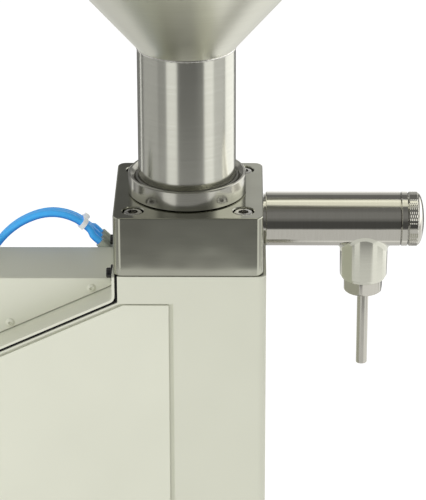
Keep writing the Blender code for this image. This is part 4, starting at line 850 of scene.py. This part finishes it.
def make_nozzle():
    """Six-sided nut with its lower corners rounded off, and the drawn nozzle tube."""
    profile = [(7.7, 291.9), (7.7, 282.9), (10.75, 282.9)]
    profile += arc(8.15, 278.1, 2.6, 0, -90, 8)
    profile += [(3.3, 275.5), (3.3, 279.5), (6.3, 279.5), (6.3, 291.9)]
    nut = turned("nozzle_union", profile, at(DROP_X, 0, 0), steps=120)
    flats = six_sided(11.25, 30)
    combine(nut, seat(flats, at(DROP_X, 0, 283), (0, 0, math.radians(-90 - 39))), "INTERSECT")
    finish(nut, "cabinet", POLISHED, "polished_stainless", "nozzle_nut")
    profile = [(6.0, 281.8), (6.0, 279.8), (3.0, 279.8), (3.0, 233.4)]
    profile += [(2.85, 233.15), (2.5, 233.1), (2.3, 233.3), (2.3, 281.8)]
    pipe = turned("nozzle_pipe", profile, at(DROP_X, 0, 0), steps=64)
    finish(pipe, "cabinet", POLISHED, "polished_stainless", "nozzle")


make_nozzle()

KNURLS = 150
KNURL_ROWS = 9
KNURL_DEPTH = 0.4
GRIP_RADIUS = 14.3


def make_arm_end():
    """The end ring, and the cap with a diamond knurl on its grip and a polished dome."""
    ring = [(13.9, 115.7), (14.3, 115.4), (14.3, 112.6), (14.0, 112.3), (11.5, 112.3), (11.5, 115.7)]
    ring = turned("end_ring", ring, at(0, 0, ARM_Z), ALONG_X, 128)
    finish(ring, "cabinet", POLISHED, "polished_stainless", "arm_end_ring")
    first, last = 116.5, 120.7
    profile = [(0, 124.5)]
    for i in range(1, 13):
        angle = math.radians(90 - 84 * i / 12)
        profile.append((13.9 * math.cos(angle), 120.9 + 3.6 * math.sin(angle)))
    profile.append((13.9, 120.95))
    pitch = (last - first) / (KNURL_ROWS - 1)
    profile += [(GRIP_RADIUS, last - pitch * i) for i in range(KNURL_ROWS)]
    profile += [(13.8, 116.1), (11.2, 116.1), (11.2, 107), (2.9, 107), (2.9, 120.9), (0, 120.9)]
    cap = turned("knurled_cap", profile, at(0, 0, ARM_Z), ALONG_X, KNURLS)
    middle = at(0, 0, ARM_Z)
    share = 1 - KNURL_DEPTH / GRIP_RADIUS
    for vertex in cap.data.vertices:
        reach = Vector((vertex.co.y - middle.y, vertex.co.z - middle.z))
        x = vertex.co.x / MM - AXIS_X
        if reach.length > (GRIP_RADIUS - 0.1) * MM and first - 0.05 < x < last + 0.05:
            row = round((x - first) / pitch)
            turn = round(math.atan2(reach.y, reach.x) / ROUND * KNURLS)
            if (row + turn) % 2:
                vertex.co.y = middle.y + reach.x * share
                vertex.co.z = middle.z + reach.y * share
    edit(cap)
    bpy.ops.mesh.select_all(action="DESELECT")
    bpy.ops.mesh.select_mode(type="FACE")
    mesh = bmesh.from_edit_mesh(cap.data)
    for face in mesh.faces:
        grip = all(math.hypot(v.co.y - middle.y, v.co.z - middle.z) > 13.95 * MM for v in face.verts)
        face.select_set(grip and len(face.verts) == 4)
    bmesh.update_edit_mesh(cap.data)
    bpy.ops.mesh.quads_convert_to_tris(quad_method="SHORTEST_DIAGONAL")
    bpy.ops.mesh.select_mode(type="VERT")
    leave()
    finish(cap, "cabinet", POLISHED, "polished_stainless", "arm_cap", angle=24)


make_arm_end()


# Painted sheet


def make_cabinet():
    """Folded walls, deck, hood and plates, with their bends smooth and their edges broken."""
    for node, name, edge, paint, slot in (
        ("cabinet_shell", "cabinet_walls", 0.0, SHADED_WALL_COAT, "cream_grey_paint"),
        ("deck", "deck_sheet", 0.25, COAT, "cream_grey_paint"),
        ("front_cover", "front_door", 0.3, COAT, "cream_grey_paint"),
        ("rear_cover", "rear_door", 0.3, COAT, "cream_grey_paint"),
        ("deck_gasket", "deck_seal", 0.0, GASKET, "black_rubber"),
        ("hood", "hood_shell", 0.0, HOOD_COAT, "hood_paint"),
        ("control_panel", "panel_plate", 0.4, HOOD_COAT, "hood_paint"),
        ("base_plate", "base_slab", 0.6, GROUND, "ground_steel"),
    ):
        obj = copied(node, name)
        if edge:
            soften(obj, edge, 2)
        finish(obj, "cabinet", paint, slot, node, angle=35)


make_cabinet()


def make_hood_screws():
    """Domed screws with hexagon sockets that hold the hood to the deck, painted over with it."""
    profile = [(0, 1.3)] + [(2.3 * math.sin(a), 1.3 * math.cos(a)) for a in (0.35, 0.7, 1.05, 1.35)]
    profile += [(2.3, 0.15), (2.3, -0.4), (0, -0.4)]
    pattern = turned("screw_pattern", profile, (0, 0, 0), steps=40)
    socket = [(0, 2.3), (0.97, 2.3), (0.97, 0.4), (0, 0.25)]
    combine(pattern, turned("socket", socket, (0, 0, 0), steps=6))
    smooth(pattern)
    for k, x in enumerate((-50.3, -93.5, -136.7, -177.0), 1):
        z = deck_top(x) + 3.9
        for side, y, turn in (("front", -HOOD_HALF, AGAINST_Y), ("rear", HOOD_HALF, ALONG_Y)):
            head = repeat(pattern, f"hood_screw_{side}_{k}", at(x, y, z), turn)
            dress(head, "cabinet", COAT, "hood_paint")
    put_away(pattern)


def make_wall_bolts():
    """The two blackened bolts in the deck's upright wall, each on its washer."""
    profile = [(0, 3.0), (2.3, 3.0), (2.75, 2.5), (2.75, 0.0), (3.6, 0.0), (3.6, -0.3), (0, -0.3)]
    bolt = turned("bolt_pattern", profile, (0, 0, 0), steps=40)
    combine(bolt, turned("socket", [(0, 4), (1.5, 4), (1.5, 1.2), (0, 0.8)], (0, 0, 0), steps=6))
    smooth(bolt)
    profile = [(2.9, 0.5), (4.2, 0.5), (4.4, 0.3), (4.4, -0.25), (2.9, -0.25)]
    washer = turned("washer_pattern", profile, (0, 0, 0), steps=40)
    smooth(washer)
    for name, y, z in (("wall_bolt_front", -24.2, 295.9), ("wall_bolt_rear", 22.6, 294.6)):
        made = repeat(bolt, name, at(-39.0, y, z), AGAINST_X)
        dress(made, "cabinet", BLACK_OXIDE, "ground_steel")
        made = repeat(washer, name + "_washer", at(-39.05, y, z), AGAINST_X)
        dress(made, "cabinet", BLACK, "black_plastic")
    put_away(bolt, washer)


make_hood_screws()
make_wall_bolts()


# Controls

BUTTON_X = -122.0
SWITCH_X = -147.0
REGULATOR_X = -172.0


def make_button():
    """The start button, dished on top, in its ground bezel."""
    bezel = [(11.6, 298.6), (12.3, 298.5), (13, 297.7), (13, 291.6), (11.3, 291.6), (11.3, 298.3)]
    bezel = turned("button_ring", bezel, at(BUTTON_X, 0, 0), steps=72)
    finish(bezel, "cabinet", GROUND, "ground_steel", "button_bezel")
    cap = [(0, 300.9), (5, 301.1), (8.6, 301.7), (9.9, 301.9), (10.6, 301.5), (11, 300.8), (11, 294.9)]
    cap += [(4, 294.9), (4, 280.9), (0, 280.9)]
    cap = turned("button_cap", cap, at(BUTTON_X, 0, 0), steps=72)
    finish(cap, "start_button", GREEN, "green_plastic", "start_button")
    cap.visible_glossy = False


def make_switch():
    """Selector with a skirt, a raised grip and a white line that shows its place."""
    skirt = [(0, 295.6), (9.2, 295.6), (10, 294.8), (10, 291.6), (3, 291.6), (3, 287.6), (0, 287.6)]
    skirt = turned("switch_body", skirt, at(SWITCH_X, 0, 0), steps=72)
    grip = block("grip", (SWITCH_X - 9, -2.5, 295.2), (SWITCH_X + 9, 2.5, 304.6), 1.1, 3)
    combine(skirt, grip, "UNION")
    finish(skirt, "mode_switch", BLACK, "black_plastic", "mode_switch")
    skirt.visible_glossy = False
    low, high = (SWITCH_X - 8.2, -0.45, 304.3), (SWITCH_X - 0.5, 0.45, 304.75)
    line = block("switch_line", low, high, 0.12, 1)
    finish(line, "mode_switch", DIAL, "white_seal")


def make_regulator():
    """The regulator's body and neck, and its lobed knob."""
    low, high = (REGULATOR_X - 15, -15, 255.8), (REGULATOR_X + 15, 15, 289.8)
    body = block("regulator_body", low, high, 0.8)
    neck = [(0, 297.6), (8.6, 297.6), (9, 297.2), (9, 288), (0, 288)]
    combine(body, turned("neck", neck, at(REGULATOR_X, 0, 0), steps=64), "UNION")
    finish(body, "cabinet", ANODISED, "anodised_aluminium", "air_regulator")
    profile = [(0, 317.2), (9.5, 317.2), (10.2, 317.9), (12.0, 317.9), (12.9, 317.0)]
    profile += [(13, 310), (13, 300), (12.4, 298.2), (11.6, 297.9), (0, 297.9)]
    knob = turned("regulator_grip", profile, at(REGULATOR_X, 0, 0), steps=128)
    middle = at(REGULATOR_X, 0, 0)
    for vertex in knob.data.vertices:
        reach = Vector((vertex.co.x - middle.x, vertex.co.y - middle.y))
        if reach.length > 11.3 * MM:
            angle = math.atan2(reach.y, reach.x)
            share = 1 - 0.07 * max(0.0, math.cos(16 * angle)) ** 2
            vertex.co.x = middle.x + reach.x * share
            vertex.co.y = middle.y + reach.y * share
    finish(knob, "regulator_knob", BLACK, "black_plastic", "regulator_knob")
    knob.visible_glossy = False


GAUGE_Z = 269.3
PRINT_X = -202.25
TICKS = 50


def on_dial(share, reach):
    """A point on the dial at a share of its 270 degree sweep, as seen from the left end."""
    angle = math.radians(-135 + 270 * share)
    return reach * -math.sin(angle), GAUGE_Z + reach * math.cos(angle)


def make_gauge():
    """Case with a rolled rim, a printed dial with plain numbers, and a glass."""
    case = [(0, 202.1), (15.3, 202.1), (15.3, 205.1), (15.8, 205.6), (16.3, 205.5)]
    case += [(17, 204.6), (17, 203.2), (16.6, 202.9), (16.6, 192.6), (0, 192.6)]
    case = turned("gauge_case", case, at(0, 0, GAUGE_Z), AGAINST_X, 96)
    finish(case, "cabinet", GROUND, "ground_steel", "pressure_gauge")
    for name, front, back, paint in (
        ("gauge_face", 202.2, 202.0, DIAL),
        ("gauge_glass", 205.0, 204.5, GLASS),
    ):
        disc = [(0, front), (15.2, front), (15.2, back), (0, back)]
        disc = turned(name, disc, at(0, 0, GAUGE_Z), AGAINST_X, 96)
        finish(disc, "cabinet", paint, "white_seal")
    parts = []
    for i in range(TICKS + 1):
        inner, width = (12.2, 0.2) if i % 5 else (10.9, 0.44)
        outer = 13.6
        angle = math.radians(-135 + 270 * i / TICKS)
        tick = start("tick", bpy.ops.mesh.primitive_cube_add, size=1)
        tick.scale = (0.12 * MM, width * MM, (outer - inner) * MM)
        y, z = on_dial(i / TICKS, (inner + outer) / 2)
        seat(tick, at(PRINT_X, y, z), (angle, 0, 0))
        parts.append(tick)
    for i in range(0, 11, 2):
        words = start("number", bpy.ops.object.text_add)
        words.data.body = str(i)
        words.data.size = 3.4 * MM
        words.data.extrude = 0.06 * MM
        words.data.align_x = "CENTER"
        words.data.align_y = "CENTER"
        pick(words)
        bpy.ops.object.convert(target="MESH")
        words = bpy.context.object
        y, z = on_dial(i / 10, 8.7)
        seat(words, at(PRINT_X, y, z), (math.pi / 2, 0, -math.pi / 2))
        parts.append(words)
    bpy.ops.object.select_all(action="DESELECT")
    for part in parts:
        part.select_set(True)
    bpy.context.view_layer.objects.active = parts[0]
    bpy.ops.object.join()
    scale = bpy.context.object
    scale.name = "gauge_scale"
    dress(scale, "cabinet", INK, "black_plastic")


make_button()
make_switch()
make_regulator()
make_gauge()


# Feet, air inlet, rails and what shows through the window


def make_feet():
    """Moulded rubber feet, wider at the foot and hollow underneath."""
    profile = [(0, 15), (10.2, 15), (10.5, 14.6), (12.9, 2.4), (12.6, 0.6), (11.5, 0.0)]
    profile += [(6.2, 0.0), (6.0, 0.4), (6.0, 3.0), (0, 3.0)]
    pattern = turned("foot_pattern", profile, (0, 0, 0), steps=64)
    smooth(pattern)
    for row, y in (("front", -58), ("rear", 58)):
        for column, x in (("left", -189), ("right", 45)):
            foot = repeat(pattern, f"{row}_{column}_pad", at(x, y, 0))
            dress(foot, "cabinet", RUBBER, "black_rubber", f"foot_{row}_{column}")
    put_away(pattern)


def make_air_inlet():
    """Six-sided body and a barbed spigot for the supply hose."""
    barbs = [(3, 221.8), (4.9, 221.8), (6, 219.6), (6, 218.9), (5, 218.9), (6, 216.6), (6, 215.9)]
    barbs += [(5, 215.9), (5.6, 213.4), (5.6, 211.8), (8, 211.8), (8, 202.1), (3, 202.1)]
    inlet = turned("inlet_spigot", barbs, at(0, 0, 60), AGAINST_X, 96)
    combine(inlet, seat(six_sided(8.4, 60), at(-210, 0, 60), ALONG_X), "INTERSECT")
    finish(inlet, "cabinet", NICKEL, "plated_brass", "air_inlet")


def make_rails():
    """The two moulded rails that the hoses end in."""
    for side in ("right", "left"):
        rail = copied(f"fitting_rail_{side}", f"{side}_manifold")
        finish(rail, "cabinet", FITTING, "grey_green_fitting", f"fitting_rail_{side}", angle=35)


def make_drive():
    """Rod and dose nut under the air cylinder, which show through the window."""
    rod = [(0, 199.5), (5.6, 199.5), (6, 199.1), (6, 30.6), (5.4, 30), (0, 30)]
    rod = turned("drive_rod", rod, at(0, 0, 0), steps=64)
    finish(rod, "drive", GROUND, "ground_steel", "air_cylinder_rod")
    nut = copied("dose_nut", "dose_wheel")
    soften(nut, 0.5, 2)
    finish(nut, "dose_nut", BLACK, "black_plastic", "dose_nut", angle=35)
    base = [(6.3, 89.5), (6.3, 107.5), (22.8, 107.5), (22.8, 115.5), (25, 115.1), (25, 90.5)]
    base = turned("cylinder_foot", base + [(24, 89.5)], at(0, 0, 0), steps=96)
    finish(base, "cabinet", ANODISED, "anodised_aluminium", "air_cylinder_base")


make_feet()
make_air_inlet()
make_rails()
make_drive()


INNER_FINISHES = (
    (ANODISED, "column_top_plate", "cylinder_mount_plate", "air_cylinder_head"),
    (ANODISED, "air_cylinder_barrel", "control_valve"),
    (GROUND, "inlet_guide", "inlet_poppet", "inlet_keeper", "inlet_spring"),
    (GROUND, "outlet_poppet", "outlet_spring", "metering_piston", "piston_rod", "rod_coupling"),
    (SATIN, "metering_cylinder"),
    (SEAL, "piston_seal_upper", "piston_seal_lower"),
    (BLACK, "air_piston", "gauge_needle"),
)


def dress_inner_pieces():
    """Better finishes for the CAD solids that stay as they are."""
    for paint, *nodes in INNER_FINISHES:
        for node in nodes:
            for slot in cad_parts[node].material_slots:
                slot.material = paint


dress_inner_pieces()


# Studio

TABLE = 0.0


def make_floor():
    """A pale seamless floor. It shows to the camera and takes shadows, and metal sees the studio."""
    floor = start("floor", bpy.ops.mesh.primitive_grid_add, x_subdivisions=4, y_subdivisions=4, size=16)
    seat(floor, (0, 3, TABLE))
    made, _, shader = start_material("pale_floor", "F6F6F4", 0.9)
    shader.inputs["Emission Color"].default_value = (1, 1, 1, 1)
    shader.inputs["Emission Strength"].default_value = 0.6
    floor.data.materials.append(made)
    floor.visible_glossy = False


make_floor()


def make_world():
    """The studio as metal sees it: tall soft boxes all round, a pale table below and a box overhead.

    Each patch has a brightness and a soft outline by direction alone, and adds to what is there.
    """
    world = bpy.data.worlds.new("studio")
    bpy.context.scene.world = world
    world.use_nodes = True
    tree = world.node_tree
    tree.nodes.clear()
    way = add(tree, "ShaderNodeTexCoord").outputs["Generated"]
    parts = add(tree, "ShaderNodeSeparateXYZ", sockets={"Vector": way}).outputs
    x, y, z = parts["X"], parts["Y"], parts["Z"]
    flat = add(tree, "ShaderNodeCombineXYZ", sockets={"X": x, "Y": y, "Z": 0.0}).outputs["Vector"]
    flat = add(tree, "ShaderNodeVectorMath", {"operation": "NORMALIZE"}, {0: flat}).outputs["Vector"]

    def fade(value, none, full):
        """0 at one value and 1 at another, with a soft step between them."""
        made = add(
            tree,
            "ShaderNodeMapRange",
            {"interpolation_type": "SMOOTHSTEP"},
            {"Value": value, "From Min": none, "From Max": full},
        )
        return made.outputs["Result"]

    def toward(direction, outer, inner):
        """A round patch about a direction, by the cosines of its outer and inner edge."""
        dot = add(tree, "ShaderNodeVectorMath", {"operation": "DOT_PRODUCT"}, {0: way, 1: direction})
        return fade(dot.outputs["Value"], outer, inner)

    def column(azimuth, inner, outer):
        """A tall patch round an azimuth, 0 at the camera and 90 towards the nozzle."""
        a = math.radians(azimuth)
        towards = (math.sin(a), -math.cos(a), 0)
        dot = add(tree, "ShaderNodeVectorMath", {"operation": "DOT_PRODUCT"}, {0: flat, 1: towards})
        low, high = math.cos(math.radians(outer)), math.cos(math.radians(inner))
        return fade(dot.outputs["Value"], low, high)

    def overlap(mask, other):
        """Where two masks meet."""
        both = add(tree, "ShaderNodeMath", {"operation": "MULTIPLY"}, {0: mask, 1: other})
        return both.outputs["Value"]

    def patch(level, mask, amount):
        """The brightness with one more patch on it."""
        sockets = {0: mask, 1: amount, 2: level}
        made = add(tree, "ShaderNodeMath", {"operation": "MULTIPLY_ADD"}, sockets)
        return made.outputs["Value"]

    # Boxes round the machine: azimuth, half width where it is full and where it ends, brightness
    level = 0.22
    low_boxes = fade(z, 0.42, 0.20)
    for azimuth, inner, outer, amount in (
        (-34, 11, 15, 0.80),
        (55, 10, 15, 0.88),
        (84, 13, 18, 0.46),
        (125, 19, 25, 1.15),
        (-60, 9, 13, 0.14),
        (-95, 22, 27, 0.27),
        (-133, 2, 4, 0.9),
    ):
        level = patch(level, overlap(column(azimuth, inner, outer), low_boxes), amount)
    side_walls = overlap(fade(z, -0.3, -0.12), fade(z, 0.75, 0.5))
    for azimuth, inner, outer, amount in ((98, 30, 48, 1.25), (-98, 28, 46, 0.4)):
        level = patch(level, overlap(column(azimuth, inner, outer), side_walls), amount)

    # The table, as the hopper's cone and the lower half of the arm show it
    table = fade(z, -0.404, -0.430)
    table_level = 0.80
    for azimuth, inner, outer, amount in ((95, 45, 65, 0.30), (-79, 3, 14, -0.24), (-120, 20, 36, 0.2)):
        table_level = patch(table_level, column(azimuth, inner, outer), amount)
    for azimuth, inner, outer, none, full, amount in (
        (-95, 45, 65, -0.5, -0.65, -0.1),
        (-165, 14, 24, -0.5, -0.65, -0.22),
        (-135, 12, 24, -0.82, -0.9, -0.4),
        (140, 15, 25, -0.80, -0.88, 0.14),
    ):
        steep = overlap(column(azimuth, inner, outer), fade(z, none, full))
        table_level = patch(table_level, steep, amount)
    level = patch(level, overlap(level, table), -1.0)
    level = patch(level, table, table_level)

    # The box overhead, the wall that the block's top shows, and the camera's own side
    level = patch(level, toward((0, 0.07, 0.997), 0.925, 0.965), 0.95)
    back = overlap(column(180, 4, 24), fade(z, -0.34, -0.28))
    high_back = overlap(back, fade(z, 0.64, 0.50))
    level = patch(level, high_back, patch(-0.08, fade(x, -0.045, 0.02), 0.5))
    level = patch(level, overlap(back, fade(z, 0.36, 0.20)), 0.48)
    front = column(5, 14, 26)
    low_front = overlap(front, overlap(fade(z, -0.38, -0.3), fade(z, 0.3, 0.1)))
    level = patch(level, low_front, -0.12)
    high_front = overlap(front, overlap(fade(z, 0.3, 0.45), fade(z, 0.85, 0.7)))
    level = patch(level, high_front, 0.07)
    level = add(tree, "ShaderNodeMath", {"operation": "MAXIMUM"}, {0: level, 1: 0.02}).outputs["Value"]

    # Metal shows the studio, matt surfaces take a soft even light, and the picture's ground is white
    ray = add(tree, "ShaderNodeLightPath").outputs
    warm, plain = (1.0, 0.995, 0.965, 1), (1, 1, 1, 1)
    glossy = add(tree, "ShaderNodeBackground", sockets={"Color": warm, "Strength": level})
    soft_level = patch(0.44, fade(y, 0.2, -0.9), 0.20)
    soft = add(tree, "ShaderNodeBackground", sockets={"Color": plain, "Strength": soft_level})
    white = add(tree, "ShaderNodeBackground", sockets={"Color": plain, "Strength": 1.0})
    first = add(
        tree,
        "ShaderNodeMixShader",
        sockets={0: ray["Is Glossy Ray"], 1: soft.outputs[0], 2: glossy.outputs[0]},
    )
    second = add(
        tree,
        "ShaderNodeMixShader",
        sockets={0: ray["Is Camera Ray"], 1: first.outputs[0], 2: white.outputs[0]},
    )
    add(tree, "ShaderNodeOutputWorld", sockets={"Surface": second.outputs[0]})


make_world()


def soft_box(name, place, aim, size, power):
    """A large diffuse lamp that metal doesn't show, because the studio round it is drawn already."""
    data = bpy.data.lights.new(name, "AREA")
    data.shape = "SQUARE"
    data.size = size
    data.energy = power
    lamp = bpy.data.objects.new(name, data)
    bpy.context.scene.collection.objects.link(lamp)
    lamp.location = place
    lamp.rotation_euler = (Vector(aim) - Vector(place)).to_track_quat("-Z", "Y").to_euler()
    lamp.visible_glossy = False


soft_box("key_box", (-0.85, -0.75, 0.72), (0, 0, 0.25), 0.8, 3.1)
soft_box("fill_box", (1.6, -1.4, 1.0), (0, 0, 0.3), 1.4, 0.5)
bpy.context.scene.view_settings.view_transform = "Standard"
